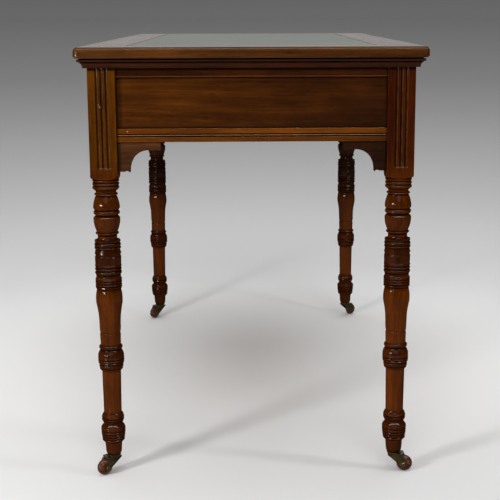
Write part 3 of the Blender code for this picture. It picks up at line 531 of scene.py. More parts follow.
def add_castors():
    """Brass horn and axle and a glazed wheel under each foot."""
    half = WHEEL_WIDTH / 2
    bore = AXLE_RADIUS + AXLE_PLAY
    rim_radii = (WHEEL_RADIUS - WHEEL_BOSS, half)
    rim = arc((WHEEL_BOSS, 0), rim_radii, WHEEL_RIM_ANGLE, -WHEEL_RIM_ANGLE, RIM_STEPS)
    wheel_rows = [(bore, half), (WHEEL_BOSS, half), *rim, (WHEEL_BOSS, -half), (bore, -half), (bore, half)]
    wheel = lathe("wheel", wheel_rows, WHEEL_SIDES)
    head = arc((0, AXLE_HEAD_START), (AXLE_HEAD_RADIUS, AXLE_HEAD_HEIGHT), 90, 0, FORM_STEPS)
    head[0] = (0, head[0][1])
    head.append((AXLE_RADIUS, AXLE_HEAD_START))
    axle = lathe("axle", head + [(r, -z) for r, z in reversed(head)], AXLE_SIDES)
    for corner, (x_sign, y_sign, _, trailing) in CORNERS.items():
        pivot = shift(x_sign * POST_X, y_sign * POST_Y) @ turn(trailing)
        at_axle = pivot @ shift(CASTOR_TRAIL, 0, WHEEL_RADIUS) @ turn(90, "X")
        for name, mesh, material, slot in (
            ("castor_wheel", wheel, CERAMIC, "brown_ceramic"),
            ("castor_axle", axle, CASTOR_BRASS, "aged_brass"),
        ):
            placed = mesh.copy()
            placed.transform(at_axle)
            dress(f"{name}_{corner}", material, placed, WIDE_CREASE)
        for kind, edge in (("horn", SOFT_EDGE), ("plate", FINE_EDGE)):
            soften(f"castor_{kind}_{corner}", CASTOR_BRASS, edge)


# Drawers


def keyhole(scale=1.0):
    """Outline of a keyhole, its round part at the local origin."""
    radius = KEYHOLE_RADIUS * scale
    half = KEYHOLE_FOOT_HALF * scale
    drop = KEYHOLE_DROP * scale
    return arc((0, 0), (radius, radius), -60, 240, KEYHOLE_STEPS) + [(-half, -drop), (half, -drop)]


def add_drawers():
    """Drawer fronts with a keyhole each, their boxes, bottoms and handles."""
    for hand in ("left", "right"):
        front = f"drawer_{hand}_front"
        low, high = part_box(front)
        middle_x = (low.x + high.x) / 2
        field_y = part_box(f"drawer_{hand}_handle_plate")[1].y + DRAWER_FIELD_GAP
        upright = shift(middle_x, field_y, high.z - KEYHOLE_BELOW_EDGE) @ turn(90, "X")
        hole = prism("keyhole", keyhole(), KEYHOLE_DEPTH)
        board = cut(front, rounded(copied(front), SOFT_EDGE), "DIFFERENCE", [(hole, upright)])
        dress(front, WOOD["drawer_front"], board)
        shield = arc((0, -SHIELD_DROP), SHIELD_RADII, 0, 360, SHIELD_STEPS)[:-1]
        plate = prism("escutcheon", shield, SHIELD_THICKNESS, [keyhole(SHIELD_HOLE_SCALE)])
        plate = rounded(plate, FINE_EDGE, SHIELD_ROUNDED_ANGLE)
        plate.transform(upright @ shift(z=SHIELD_THICKNESS / 2))
        place_piece(f"escutcheon_{hand}", shaded(plate), BRASS, f"drawer_{hand}")
        for kind, edge in (("box", WORN_EDGE), ("bottom", FINE_EDGE)):
            soften(f"drawer_{hand}_{kind}", LINING[kind], edge)
        soften(f"drawer_{hand}_handle_plate", BRASS, FINE_EDGE)
        soften(f"drawer_{hand}_bail", BRASS, THIN_EDGE, BAIL_CREASE)


# Materials

OPENNESS_SAMPLES = 6


class Graph:
    """A material's or world's node tree, written as expressions."""

    def __init__(self, tree):
        self.tree = tree
        tree.nodes.clear()

    def add(self, kind, inputs=None, **settings):
        """Add a node, with its settings, and its inputs by name or number: values, or sockets to link."""
        node = self.tree.nodes.new(f"ShaderNode{kind}")
        for key, value in settings.items():
            setattr(node, key, value)
        for key, value in (inputs or {}).items():
            socket = node.inputs[key]
            if isinstance(value, bpy.types.NodeSocket):
                self.tree.links.new(value, socket)
            else:
                socket.default_value = (*value, 1) if socket.type == "RGBA" else value
        return node

    def math(self, operation, a, b=0.0):
        """One arithmetic step."""
        return self.add("Math", {0: a, 1: b}, operation=operation).outputs[0]

    def times(self, a, b):
        """Product of two values."""
        return self.math("MULTIPLY", a, b)

    def apart(self, a, b):
        """How far two values are apart."""
        return self.math("ABSOLUTE", self.math("SUBTRACT", a, b))

    def total(self, *terms):
        """Weighted sum of (value, weight) pairs."""
        result = 0.0
        for value, weight in terms:
            node = self.add("Math", {0: value, 1: weight, 2: result}, operation="MULTIPLY_ADD")
            result = node.outputs[0]
        return result

    def span(self, value, low, high, to_low=0.0, to_high=1.0):
        """Map a value from one range to another, clamped."""
        inputs = {"Value": value, "From Min": low, "From Max": high, "To Min": to_low, "To Max": to_high}
        return self.add("MapRange", inputs).outputs[0]

    def fade(self, value, low, high, most=1.0):
        """The most below a range, falling to 0 above it."""
        return self.span(value, low, high, most, 0.0)

    def parts(self, vector):
        """The three parts of a vector."""
        return self.add("SeparateXYZ", {0: vector}).outputs

    def joined(self, x, y, z):
        """A vector from its three parts."""
        return self.add("CombineXYZ", {0: x, 1: y, 2: z}).outputs[0]

    def distance(self, a, b):
        """Distance between two points."""
        return self.add("VectorMath", {0: a, 1: b}, operation="DISTANCE").outputs["Value"]

    def noise(self, vector, scale, detail=3.0, roughness=0.5, distortion=0.0):
        """Noise, from 0 to 1."""
        values = (vector, scale, detail, roughness, distortion)
        inputs = dict(zip(("Vector", "Scale", "Detail", "Roughness", "Distortion"), values))
        return self.add("TexNoise", inputs).outputs[0]

    def stretched(self, vector, scale, seed=0.0):
        """Scale a vector by axis and move it to another part of the pattern."""
        inputs = {"Vector": vector, "Scale": scale, "Location": (seed,) * 3}
        return self.add("Mapping", inputs).outputs[0]

    def grained(self, vector, pattern, seed=0.0):
        """Noise stretched along the first axis, from 0 to 1."""
        step, along, across, *texture = pattern
        return self.noise(self.stretched(vector, (along, across, across), seed + step), 1.0, *texture)

    def ramp(self, value, stops):
        """Colour ramp."""
        node = self.add("ValToRGB", {0: value})
        elements = node.color_ramp.elements
        while len(elements) < len(stops):
            elements.new(0.5)
        for element, (position, colour) in zip(elements, stops):
            element.position = position
            element.color = (*colour, 1)
        return node.outputs[0]

    def mix(self, factor, a, b, blend="MIX"):
        """Mix two colours."""
        inputs = {0: factor, 6: a, 7: b}
        node = self.add("Mix", inputs, data_type="RGBA", blend_type=blend, clamp_factor=True)
        return node.outputs[2]

    def tint(self, amount, colour, factors):
        """Multiply a colour by factors, by an amount from 0 to 1."""
        return self.mix(amount, colour, self.mix(1.0, colour, factors, "MULTIPLY"))

    def place(self):
        """The surface's own position in metres."""
        return self.add("TexCoord").outputs["Object"]

    def crevice(self, distance, low, high):
        """0 deep in a corner or groove, 1 in the open."""
        node = self.add("AmbientOcclusion", {"Distance": distance}, samples=OPENNESS_SAMPLES)
        return self.span(node.outputs["AO"], low, high)

    def arris(self, distance, low, high):
        """1 on a worn outward edge, 0 on a flat face."""
        inputs = {"Distance": distance}
        node = self.add("AmbientOcclusion", inputs, samples=OPENNESS_SAMPLES, inside=True)
        return self.fade(node.outputs["AO"], low, high)

    def bump(self, height, distance, strength):
        """Bump from a height of 0 to 1, its relief in metres."""
        inputs = {"Height": height, "Distance": distance, "Strength": strength}
        return self.add("Bump", inputs).outputs[0]

    def finish(self, **inputs):
        """Principled shader and output."""
        shader = self.add("BsdfPrincipled", {key.replace("_", " "): inputs[key] for key in inputs})
        self.add("OutputMaterial", {0: shader.outputs[0]})


def new_graph(name):
    """A new material and its graph."""
    material = bpy.data.materials.new(name)
    material.use_nodes = True
    return material, Graph(material.node_tree)


def scaled(colour, factor, warmer=1.0):
    """A colour made lighter or darker, and warmer or cooler in its red."""
    return (colour[0] * factor * warmer, colour[1] * factor, colour[2] * factor / warmer)


def grain_frame(graph, place, grain):
    """The surface's position, turned so that the grain runs along the first axis."""
    parts = graph.parts(place)
    order = {"X": (0, 1, 2), "Y": (1, 0, 2), "Z": (2, 1, 0)}[grain]
    return graph.joined(*(parts[axis] for axis in order))


# Polishes: roughness, sheen, and the coat's weight and index of refraction
PLAIN_POLISH = (0.22, 0.0, 0.022, 4.0)
LEG_POLISH = (0.22, 0.0, 0.014, 4.0)
TOP_POLISH = (0.34, 0.05, 0.14, 1.2)
COAT_ROUGHNESS = 0.08
SHEEN_TINT = (1.0, 0.7, 0.42)

# Openness below which a hollow is painted full of shade and grime, and how much further on the painted shade
# and grime end
PLAIN_SHADE_AND_GRIME = 0.15
LITTLE_SHADE_AND_GRIME = -0.1
MUCH_SHADE_AND_GRIME = 0.32
SHADE_AND_GRIME_FADE = 0.6

# Patterns: step of the seed, repeats per metre along and across, detail, roughness, distortion
WOOD_SWAY = (0, 1.7, 5, 2.0)
WOOD_FIGURE = (3, 2.4, 34, 4.0, 0.55, 0.5)
WOOD_STREAKS = (5, 8, 240, 4.0, 0.65)
WOOD_MOTTLE = (7, 11, 26, 3.0, 0.6)
WOOD_FIBRES = (9, 40, 1100, 2.0, 0.6)
LINING_RINGS = (0, 1.2, 45, 4.0, 0.6, 0.8)
LINING_FIBRES = (4, 14, 520, 3.0, 0.6)
HIDE_DRAG = (0, 60, 3.0, 4.0, 0.6)

# Mahogany's tones from dark to light figure as place, factor and warmth, where worn, and where hollows are
# painted dark with shade and grime
FIGURE_TONES = ((0.0, 0.42, 1.06), (0.45, 0.92, 1.0), (1.0, 1.75, 0.97))
WORN_TONE = (2.4, 0.9)
SHADE_AND_GRIME_TONE = 0.06


def wood(name, tone, grain, seed, stain_and_shading=None, polish=PLAIN_POLISH, shade_and_grime=PLAIN_SHADE_AND_GRIME, layout=None):
    """Old polished mahogany of one tone, with figure, pores, worn edges, and hollows painted dark with shade
    and grime.
    """
    material, graph = new_graph(name)
    place = graph.place()
    local = layout(graph, place) if layout else grain_frame(graph, place, grain)
    sway = graph.total((graph.grained(local, WOOD_SWAY, seed), 0.05))
    offset = graph.joined(0.0, sway, sway)
    local = graph.add("VectorMath", {0: local, 1: offset}, operation="ADD").outputs[0]
    patterns = (WOOD_FIGURE, WOOD_STREAKS, WOOD_MOTTLE, WOOD_FIBRES)
    figure, streaks, mottle, fibres = (graph.grained(local, pattern, seed) for pattern in patterns)
    value = graph.total((figure, 0.42), (streaks, 0.32), (mottle, 0.26))
    spread = graph.span(value, low=0.37, high=0.63)
    colour = graph.ramp(spread, [(at, scaled(tone, factor, warmer)) for at, factor, warmer in FIGURE_TONES])
    if stain_and_shading:
        colour = stain_and_shading(graph, place, colour)
    pores = graph.span(fibres, low=0.3, high=0.43, to_low=0.45)
    pore_grey = graph.add("CombineColor", dict.fromkeys(range(3), pores)).outputs[0]
    colour = graph.mix(1.0, colour, pore_grey, "MULTIPLY")
    patches = graph.span(mottle, low=0.35, high=0.6, to_low=0.15, to_high=0.75)
    worn = graph.times(graph.arris(distance=0.0022, low=0.35, high=0.85), patches)
    colour = graph.mix(worn, colour, scaled(tone, *WORN_TONE))
    # Painted shade and grime: corners, grooves and recesses darken towards a dark tone
    hollows = graph.crevice(distance=0.012, low=shade_and_grime, high=shade_and_grime + SHADE_AND_GRIME_FADE)
    open_air = graph.times(hollows, graph.crevice(distance=0.005, low=0.38, high=0.95))
    colour = graph.mix(open_air, scaled(tone, SHADE_AND_GRIME_TONE), colour)
    covered = graph.math("SUBTRACT", 1.0, open_air)
    relief = graph.total((value, 0.55), (fibres, 0.45))
    roughness, sheen, coat, coat_index = polish
    graph.finish(
        Base_Color=colour,
        Roughness=graph.total((spread, -0.06), (covered, 0.35), (pores, -0.05), (1.0, roughness)),
        Specular_IOR_Level=sheen,
        Specular_Tint=SHEEN_TINT,
        Coat_Weight=coat,
        Coat_IOR=coat_index,
        Coat_Roughness=COAT_ROUGHNESS,
        Normal=graph.bump(relief, distance=0.00018, strength=0.6),
    )
    return material


def insets(graph, parts, border=0.0):
    """Distances in from a border of the top, along the desk and across it."""
    sizes = zip((DESK_LENGTH, DESK_DEPTH), parts[:2])
    return [graph.math("SUBTRACT", size / 2 - border, graph.math("ABSOLUTE", part)) for size, part in sizes]


def border_frame(graph, place):
    """Position over the top, turned so that the grain runs along each border to its mitres."""
    parts = graph.parts(place)
    at_end = graph.math("LESS_THAN", *insets(graph, parts))
    swapped = graph.joined(parts[1], parts[0], parts[2])
    return graph.add("Mix", {0: at_end, 4: place, 5: swapped}, data_type="VECTOR").outputs[1]


# Wood tones, and what the stains, the painted shade and the painted highlights do to them
TOP_TONE = (0.059, 0.019, 0.0036)
RAIL_TONE = (0.11, 0.028, 0.0008)
UPPER_RAIL_TONE = (0.033, 0.0078, 0.0009)
PANEL_TONE = (0.051, 0.0134, 0.0012)
MOULDING_TONE = (0.025, 0.005, 0.0004)
LEG_TONE = (0.075, 0.016, 0.0004)
BRACKET_TONE = (0.049, 0.017, 0.0056)
MITRE_TONE = 0.25
# Painted shadow under the end panel's upper rail, painted shade towards its back, and its pool of painted
# light
PANEL_SHADOW_TONE = 0.1
PANEL_SHADE_FACTORS = (0.5, 0.48, 0.72)
PANEL_PAINTED_LIGHT_FACTORS = (1.7, 1.7, 1.5)
RING_FACTORS = (0.44, 0.38, 0.9)
FOOT_FACTORS = (0.55, 0.48, 0.5)
# Factors of the painted highlight along the upper rail's lip
LIP_HIGHLIGHT_FACTORS = (2.0, 2.0, 2.2)
RAIL_FOOT_FACTORS = (0.72, 0.8, 1.6)
# Colours of the painted highlights in the flutes and along the lower rail's bead
FLUTE_HIGHLIGHT = (0.135, 0.07, 0.032)
RAIL_HIGHLIGHT = (0.15, 0.092, 0.055)
CHIP_COLOUR = (0.3, 0.22, 0.13)
# Colour of the painted shadow under the top's moulding
MOULDING_SHADOW = (0.004, 0.0006, 0.0001)

# Where they do it: heights above the floor, and places
POST_SPAN = (0.545, 0.58)
# Heights over which the upper leg fades into painted shade
UPPER_LEG_SPAN = (0.26, 0.4)
FOOT_SPAN = (0.063, 0.055)
RING_HEIGHTS = ((0.066, 0.115), (0.197, 0.24), (0.341, 0.431))
RING_FADE = 0.004
# How far off each flute's centre its painted highlight lies
HIGHLIGHT_OFF_CENTRE = 0.0017
CHIPS = ((0.5775, -0.2595, 0.6655), (0.5775, -0.2562, 0.662), (0.5735, -0.2117, 0.62))
CHIP_RADIUS = 0.0016
# Stretch and place of the end panel's pool of painted light
PANEL_PAINTED_LIGHT_STRETCH = (0, 26, 70)
PANEL_PAINTED_LIGHT_PLACE = (0.0, 2.9, 46.2)


def mitre_stain(graph, place, colour):
    """Fine dark joint where two borders meet."""
    apart = graph.apart(*insets(graph, graph.parts(place)))
    return graph.mix(graph.span(apart, low=0.0002, high=0.0006), scaled(TOP_TONE, MITRE_TONE), colour)


def panel_shading(graph, place, colour):
    """Painted shade and light on the end panel: a shadow under the upper rail, shade towards the back of the
    desk, and a pool of light.
    """
    parts = graph.parts(place)
    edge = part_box("end_right_upper_rail")[0].z
    # Painted shadow under the upper rail
    shadow = graph.span(parts[2], low=edge - 0.003, high=edge - 0.0012, to_high=0.8)
    colour = graph.mix(shadow, colour, scaled(PANEL_TONE, PANEL_SHADOW_TONE))
    blotch = graph.noise(place, scale=7.0, detail=2.0)
    # Painted shade, darker towards the back of the desk
    shaded_end = graph.span(graph.total((parts[1], 1.0), (blotch, 0.25)), low=0.06, high=0.34, to_high=0.95)
    colour = graph.tint(shaded_end, colour, PANEL_SHADE_FACTORS)
    # Pool of painted light on the panel
    apart = graph.distance(graph.stretched(place, PANEL_PAINTED_LIGHT_STRETCH), PANEL_PAINTED_LIGHT_PLACE)
    light = graph.fade(graph.total((apart, 1.0), (blotch, 0.8)), low=0.4, high=1.6, most=0.8)
    return graph.tint(light, colour, PANEL_PAINTED_LIGHT_FACTORS)


def flute_highlight(graph, place, parts, axis, centre):
    """How much painted highlight lies along one wall of each flute and along their stop, on the post's faces
    across one axis.
    """
    height = parts[2]
    side = graph.math("SIGN", parts[axis])
    local = graph.math("SUBTRACT", parts[axis], graph.times(side, centre))
    across = graph.math("SUBTRACT", local, HIGHLIGHT_OFF_CENTRE)
    wrap = {0: across, 1: FLUTE_PITCH / 2, 2: -FLUTE_PITCH / 2}
    apart = graph.math("ABSOLUTE", graph.add("Math", wrap, operation="WRAP").outputs[0])
    line = graph.fade(apart, low=0.0004, high=0.0011)
    inside = graph.fade(graph.math("ABSOLUTE", across), low=0.0108, high=0.0112)
    patches = graph.noise(graph.stretched(place, (1, 1, 0.4)), scale=160.0)
    patchy = graph.span(patches, low=0.36, high=0.6, to_low=0.15, to_high=0.8)
    above_stop = graph.span(height, low=FLUTE_STOP_HEIGHT, high=FLUTE_STOP_HEIGHT + 0.0005)
    stop = graph.fade(height, low=FLUTE_STOP_HEIGHT + 0.0022, high=FLUTE_STOP_HEIGHT + 0.003, most=0.7)
    highlight = graph.math("MAXIMUM", graph.times(line, patchy), stop)
    return graph.times(highlight, graph.times(inside, above_stop))


def leg_stain_and_shading(post_factors, upper_shade):
    """A stain for the square post's tone, darker rings and foot, and painted shade on the upper leg."""

    def stain_and_shading(graph, place, colour):
        parts = graph.parts(place)
        height = parts[2]
        colour = graph.tint(graph.span(height, *POST_SPAN), colour, post_factors)
        # Painted shade: the upper leg painted darker, as under the desk's top
        colour = graph.tint(graph.span(height, *UPPER_LEG_SPAN), colour, (upper_shade,) * 3)
        for low, high in RING_HEIGHTS:
            half = (high - low) / 2
            ringed = graph.fade(graph.apart(height, (low + high) / 2), half, half + RING_FADE, most=0.85)
            colour = graph.tint(ringed, colour, RING_FACTORS)
        colour = graph.tint(graph.span(height, *FOOT_SPAN, to_high=0.8), colour, FOOT_FACTORS)
        # Painted highlights along one wall of each flute
        for axis, centre in ((1, POST_Y), (0, POST_X)):
            colour = graph.mix(flute_highlight(graph, place, parts, axis, centre), colour, FLUTE_HIGHLIGHT)
        return shadow_under_moulding(graph, height, chipped(graph, place, colour))

    return stain_and_shading


def chipped(graph, place, colour):
    """Pale bare wood where the polish of the post and of the rail beside it is chipped."""
    for spot in CHIPS:
        ragged = graph.noise(place, scale=500.0, detail=2.0)
        apart = graph.total((graph.distance(place, spot), 1.0), (ragged, CHIP_RADIUS))
        chip = graph.fade(apart, low=CHIP_RADIUS, high=CHIP_RADIUS * 1.5, most=0.85)
        colour = graph.mix(chip, colour, CHIP_COLOUR)
    return colour


def shadow_under_moulding(graph, height, colour):
    """Painted shadow in the corner under the top's moulding."""
    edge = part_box("top_moulding_right")[0].z
    dark = graph.span(height, low=edge - 0.0056, high=edge - 0.0038, to_high=0.9)
    return graph.mix(dark, colour, MOULDING_SHADOW)


def upper_rail_shading(graph, place, colour):
    """The upper rail's painted shadow under the moulding, and a painted highlight along its lower edge."""
    height = graph.parts(place)[2]
    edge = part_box("end_right_upper_rail")[0].z
    # Painted highlight along the lip at the rail's lower edge
    rubbed_and_highlight = graph.span(height, low=edge + 0.004, high=edge + 0.0016)
    return shadow_under_moulding(graph, height, graph.tint(rubbed_and_highlight, colour, LIP_HIGHLIGHT_FACTORS))


def rail_stain_and_highlight(graph, place, colour):
    """The lower rail's colour: a painted highlight along its bead, a duller tone below it, and chips."""
    height = graph.parts(place)[2]
    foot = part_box("end_right_lower_rail")[0].z
    bead = foot + RAIL_FOOT_HEIGHT + RAIL_GROOVE_HEIGHT + RAIL_BEAD_HEIGHT / 2
    colour = graph.tint(graph.fade(height, low=bead - 0.001, high=bead), colour, RAIL_FOOT_FACTORS)
    # Painted highlight along the bead
    line = graph.fade(graph.apart(height, bead), low=0.0007, high=0.0012)
    patches = graph.noise(place, scale=60.0, detail=4.0, roughness=0.6)
    patchy = graph.span(patches, low=0.36, high=0.6, to_low=0.25, to_high=0.85)
    colour = graph.mix(graph.times(line, patchy), colour, RAIL_HIGHLIGHT)
    return chipped(graph, place, colour)


# Lining wood, hide, brass and ceramic: their colours, with the stops of their ramps
LINING_STOPS = ((0.3, (0.22, 0.115, 0.048)), (0.5, (0.36, 0.21, 0.1)), (0.72, (0.47, 0.3, 0.155)))
LINING_GRIME = (0.09, 0.05, 0.024)
HIDE_STOPS = ((0.34, (0.048, 0.058, 0.04)), (0.5, (0.085, 0.099, 0.07)), (0.66, (0.125, 0.138, 0.096)))
HIDE_GRIME = (0.018, 0.022, 0.016)
GILT = (0.42, 0.31, 0.12)
BLIND = (0.02, 0.028, 0.02)
JOINT_COLOUR = (0.03, 0.026, 0.019)
BRASS_STOPS = ((0.36, (0.04, 0.033, 0.016)), (0.52, (0.115, 0.088, 0.038)), (0.68, (0.27, 0.2, 0.085)))
BRASS_RUBBED = (0.58, 0.43, 0.19)
BRASS_GRIME = (0.018, 0.017, 0.01)
CERAMIC_STOPS = (
    (0.35, (0.024, 0.0054, 0.0022)), (0.52, (0.05, 0.0112, 0.0042)), (0.68, (0.094, 0.026, 0.011)),
)
CERAMIC_SCUFF = (0.26, 0.15, 0.1)
CERAMIC_GRIME = (0.012, 0.008, 0.005)


def lining_wood(name, grain, seed):
    """Plain pale secondary wood, dry and a little dirty."""
    material, graph = new_graph(name)
    local = grain_frame(graph, graph.place(), grain)
    fibres = graph.grained(local, LINING_FIBRES, seed)
    value = graph.total((graph.grained(local, LINING_RINGS, seed), 0.6), (fibres, 0.4))
    open_air = graph.crevice(distance=0.02, low=0.1, high=0.7)
    graph.finish(
        Base_Color=graph.mix(open_air, LINING_GRIME, graph.ramp(value, LINING_STOPS)),
        Roughness=graph.total((fibres, 0.15), (1.0, 0.52)),
        Normal=graph.bump(value, distance=0.00015, strength=0.7),
    )
    return material


def leather():
    """Dull green hide: pebbled grain, faint streaks, and a tooled border with worn gilding."""
    material, graph = new_graph("leather")
    place = graph.place()
    inset = graph.math("MINIMUM", *insets(graph, graph.parts(place), BORDER_WIDTH))

    def line(distance, half_width):
        return graph.fade(graph.apart(inset, distance), half_width, half_width * 1.6)

    cells = graph.add("TexVoronoi", {"Vector": place, "Scale": 700.0}, feature="F1")
    pebble = graph.fade(cells.outputs["Distance"], low=0.0, high=0.75)
    hide = graph.noise(place, scale=26.0, detail=5.0, roughness=0.62)
    blotch = graph.noise(place, scale=5.0, roughness=0.6)
    value = graph.total((hide, 0.35), (graph.grained(place, HIDE_DRAG), 0.25), (blotch, 0.4))
    left = graph.span(graph.noise(place, scale=55.0), low=0.42, high=0.6)
    gilt = graph.times(line(distance=0.0165, half_width=0.0009), left)
    colour = graph.mix(gilt, graph.ramp(value, HIDE_STOPS), GILT)
    blind = graph.math("MAXIMUM", *(line(distance, half_width=0.0006) for distance in (0.0125, 0.0205)))
    colour = graph.mix(graph.times(blind, 0.85), colour, BLIND)
    clean = graph.span(inset, low=0.0, high=0.0035, to_low=0.35)
    pressed = graph.math("MAXIMUM", blind, line(distance=0.0165, half_width=0.001))
    height = graph.total((pebble, 0.3), (hide, 0.35), (pressed, -0.5), (1.0, 0.5))
    graph.finish(
        Base_Color=graph.mix(clean, HIDE_GRIME, colour),
        Roughness=graph.total((hide, 0.18), (pebble, -0.05), (1.0, 0.34)),
        Specular_IOR_Level=0.5,
        Normal=graph.bump(height, distance=0.00035, strength=0.8),
    )
    return material


def brass(name, level):
    """Old brass of one lightness, dark and olive in its hollows, rubbed brighter on its edges."""
    material, graph = new_graph(name)
    place = graph.place()
    tarnish = graph.noise(place, scale=160.0, detail=5.0, roughness=0.65)
    value = graph.total((tarnish, 0.5), (graph.noise(place, scale=45.0), 0.5))
    rubbed_and_highlight = graph.times(graph.arris(distance=0.0015, low=0.3, high=0.85), 0.6)
    colour = graph.mix(rubbed_and_highlight, graph.ramp(value, BRASS_STOPS), BRASS_RUBBED)
    colour = graph.mix(1.0, colour, (level, level, level), "MULTIPLY")
    graph.finish(
        Base_Color=graph.mix(graph.crevice(distance=0.004, low=0.1, high=0.7), BRASS_GRIME, colour),
        Metallic=1.0,
        Roughness=graph.total((value, -0.3), (1.0, 0.52)),
        Normal=graph.bump(tarnish, distance=0.00012, strength=0.5),
    )
    return material


def ceramic():
    """Glazed brown wheel, scuffed in patches."""
    material, graph = new_graph("brown_ceramic")
    place = graph.place()
    clouds = graph.noise(place, scale=90.0, detail=4.0, roughness=0.6)
    scuffs = graph.noise(place, scale=420.0, detail=4.0, roughness=0.7)
    scuffed = graph.span(scuffs, low=0.52, high=0.66)
    colour = graph.ramp(clouds, CERAMIC_STOPS)
    colour = graph.mix(graph.times(scuffed, 0.5), colour, CERAMIC_SCUFF)
    graph.finish(
        Base_Color=graph.mix(graph.crevice(distance=0.004, low=0.1, high=0.7), CERAMIC_GRIME, colour),
        Roughness=graph.total((scuffed, 0.3), (1.0, 0.2)),
        Specular_IOR_Level=0.08,
        Normal=graph.bump(clouds, distance=0.0001, strength=0.4),
    )
    return material


NEAR_LEFT_STAIN_AND_SHADE = leg_stain_and_shading((1.14, 1.53, 2.0), 0.74)
# The right near leg and its post are painted darker: shade of light falling from the left
NEAR_RIGHT_STAIN_AND_SHADE = leg_stain_and_shading((0.66, 0.5, 0.6), 0.74)
NEAR_RIGHT_SHADED_TONE = scaled(LEG_TONE, 0.95, 1.05)
# The far legs are a darker painted-shade copy of the leg wood, their upper halves deep in painted shade,
# which their post factors undo on the posts
FAR_STAIN_AND_SHADE = leg_stain_and_shading((3.2, 3.4, 3.2), 0.3)
FAR_SHADED_TONE = scaled(LEG_TONE, 0.8)
# Darker copy of the bracket wood for the right-hand bracket: painted shade
SHADED_BRACKET_TONE = scaled(BRACKET_TONE, 0.24, 1.2)
WOOD = {
    "top": wood("top_wood", TOP_TONE, "X", 3, mitre_stain, TOP_POLISH, layout=border_frame),
    "leg_front_right": wood("leg_wood_a", LEG_TONE, "Z", 11, NEAR_LEFT_STAIN_AND_SHADE, LEG_POLISH),
    "leg_back_right": wood("leg_wood_b", NEAR_RIGHT_SHADED_TONE, "Z", 17, NEAR_RIGHT_STAIN_AND_SHADE, LEG_POLISH),
    "leg_front_left": wood("leg_wood_c", FAR_SHADED_TONE, "Z", 23, FAR_STAIN_AND_SHADE, LEG_POLISH),
    "leg_back_left": wood("leg_wood_d", FAR_SHADED_TONE, "Z", 29, FAR_STAIN_AND_SHADE, LEG_POLISH),
    "drawer_front": wood("drawer_front_wood", PANEL_TONE, "X", 31),
    "bracket_Y": wood("bracket_wood_end", BRACKET_TONE, "Y", 37),
    "bracket_X": wood("bracket_wood_long", BRACKET_TONE, "X", 41),
    "bracket_dark": wood("bracket_wood_shaded", SHADED_BRACKET_TONE, "Y", 39),
}
for axis, seed in (("X", 43), ("Y", 51)):
    for kind, tone, step, stain_and_shading, shade_and_grime in (
        ("lower_rail", RAIL_TONE, 0, rail_stain_and_highlight, PLAIN_SHADE_AND_GRIME),
        ("upper_rail", UPPER_RAIL_TONE, 2, upper_rail_shading, LITTLE_SHADE_AND_GRIME),
        ("moulding", MOULDING_TONE, 4, None, MUCH_SHADE_AND_GRIME),
    ):
        WOOD[f"{kind}_{axis}"] = wood(f"{kind}_wood_{axis}", tone, axis, seed + step, stain_and_shading, shade_and_grime=shade_and_grime)
WOOD["panel_Y"] = wood("panel_wood_Y", PANEL_TONE, "Y", 61, panel_shading, shade_and_grime=LITTLE_SHADE_AND_GRIME)
WOOD["panel_X"] = wood("panel_wood_X", PANEL_TONE, "X", 67, shade_and_grime=LITTLE_SHADE_AND_GRIME)
LINING = {
    "box": lining_wood("lining_wood_side", "Y", 5),
    "bottom": lining_wood("lining_wood_bottom", "X", 9),
}
BRASS = brass("aged_brass", 1.0)
CASTOR_BRASS = brass("castor_brass", 0.3)
JOINT, joint_graph = new_graph("leather_joint")
joint_graph.finish(Base_Color=JOINT_COLOUR, Roughness=1.0, Specular_IOR_Level=0.0)
CERAMIC = ceramic()
LEATHER = leather()


def add_frame_and_top():
    """Rails, panels, mouldings, top and leather, each over its solid."""
    soften("top_board", WOOD["top"], CRISP_EDGE, crease=WIDE_CREASE)
    for slot in NODES["leather_top"].material_slots:
        slot.material = LEATHER
    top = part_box("top_board")[1].z
    hide_x = DESK_LENGTH / 2 - BORDER_WIDTH
    hide_y = DESK_DEPTH / 2 - BORDER_WIDTH
    corners = ((1, 1), (-1, 1), (-1, -1), (1, -1))
    outer, inner = ([(x * (hide_x - w), y * (hide_y - w)) for x, y in corners] for w in (0.0, JOINT_WIDTH))
    joint = prism("leather_joint", outer, JOINT_THICKNESS, [inner])
    joint.transform(shift(z=top - JOINT_DEPTH))
    place_piece("leather_joint", joint, JOINT, BODY_OF["leather_top"])
    for side, axis in (("front", "X"), ("right", "Y"), ("back", "X"), ("left", "Y")):
        soften(f"top_moulding_{side}", WOOD[f"moulding_{axis}"], FINE_EDGE)
    rails = (("end_right", "Y", 0), ("end_left", "Y", 180), ("back", "X", 90), ("front", "X", 270))
    for prefix, axis, degrees in rails:
        lower = f"{prefix}_lower_rail"
        soften(f"{prefix}_upper_rail", WOOD[f"upper_rail_{axis}"], CRISP_EDGE)
        dress(lower, WOOD[f"lower_rail_{axis}"], rail_mesh(lower, degrees))
        if prefix != "front":
            soften(f"{prefix}_panel", WOOD[f"panel_{axis}"], FINE_EDGE)
    soften("front_division", WOOD["leg_front_left"])
    for name in ("left", "right", "middle"):
        soften(f"drawer_runner_{name}", LINING["box"])


# Floor: its grey by the distance from its centre on X, with half of the ramp inside the reach
FLOOR_CENTRE = -0.35
FLOOR_RADIUS = 120
FLOOR_SIDES = 96
FLOOR_DROP = 0.0002
FLOOR_REACH = 2.0
FLOOR_GREYS = (
    (0.0, 0.778), (0.6, 0.778), (0.75, 0.75), (0.95, 0.69), (1.15, 0.664), (1.4, 0.645), (1.8, 0.603),
    (2.4, 0.541), (3.3, 0.473), (4.6, 0.401), (7, 0.316), (12, 0.239), (31, 0.19), (100, 0.163),
)

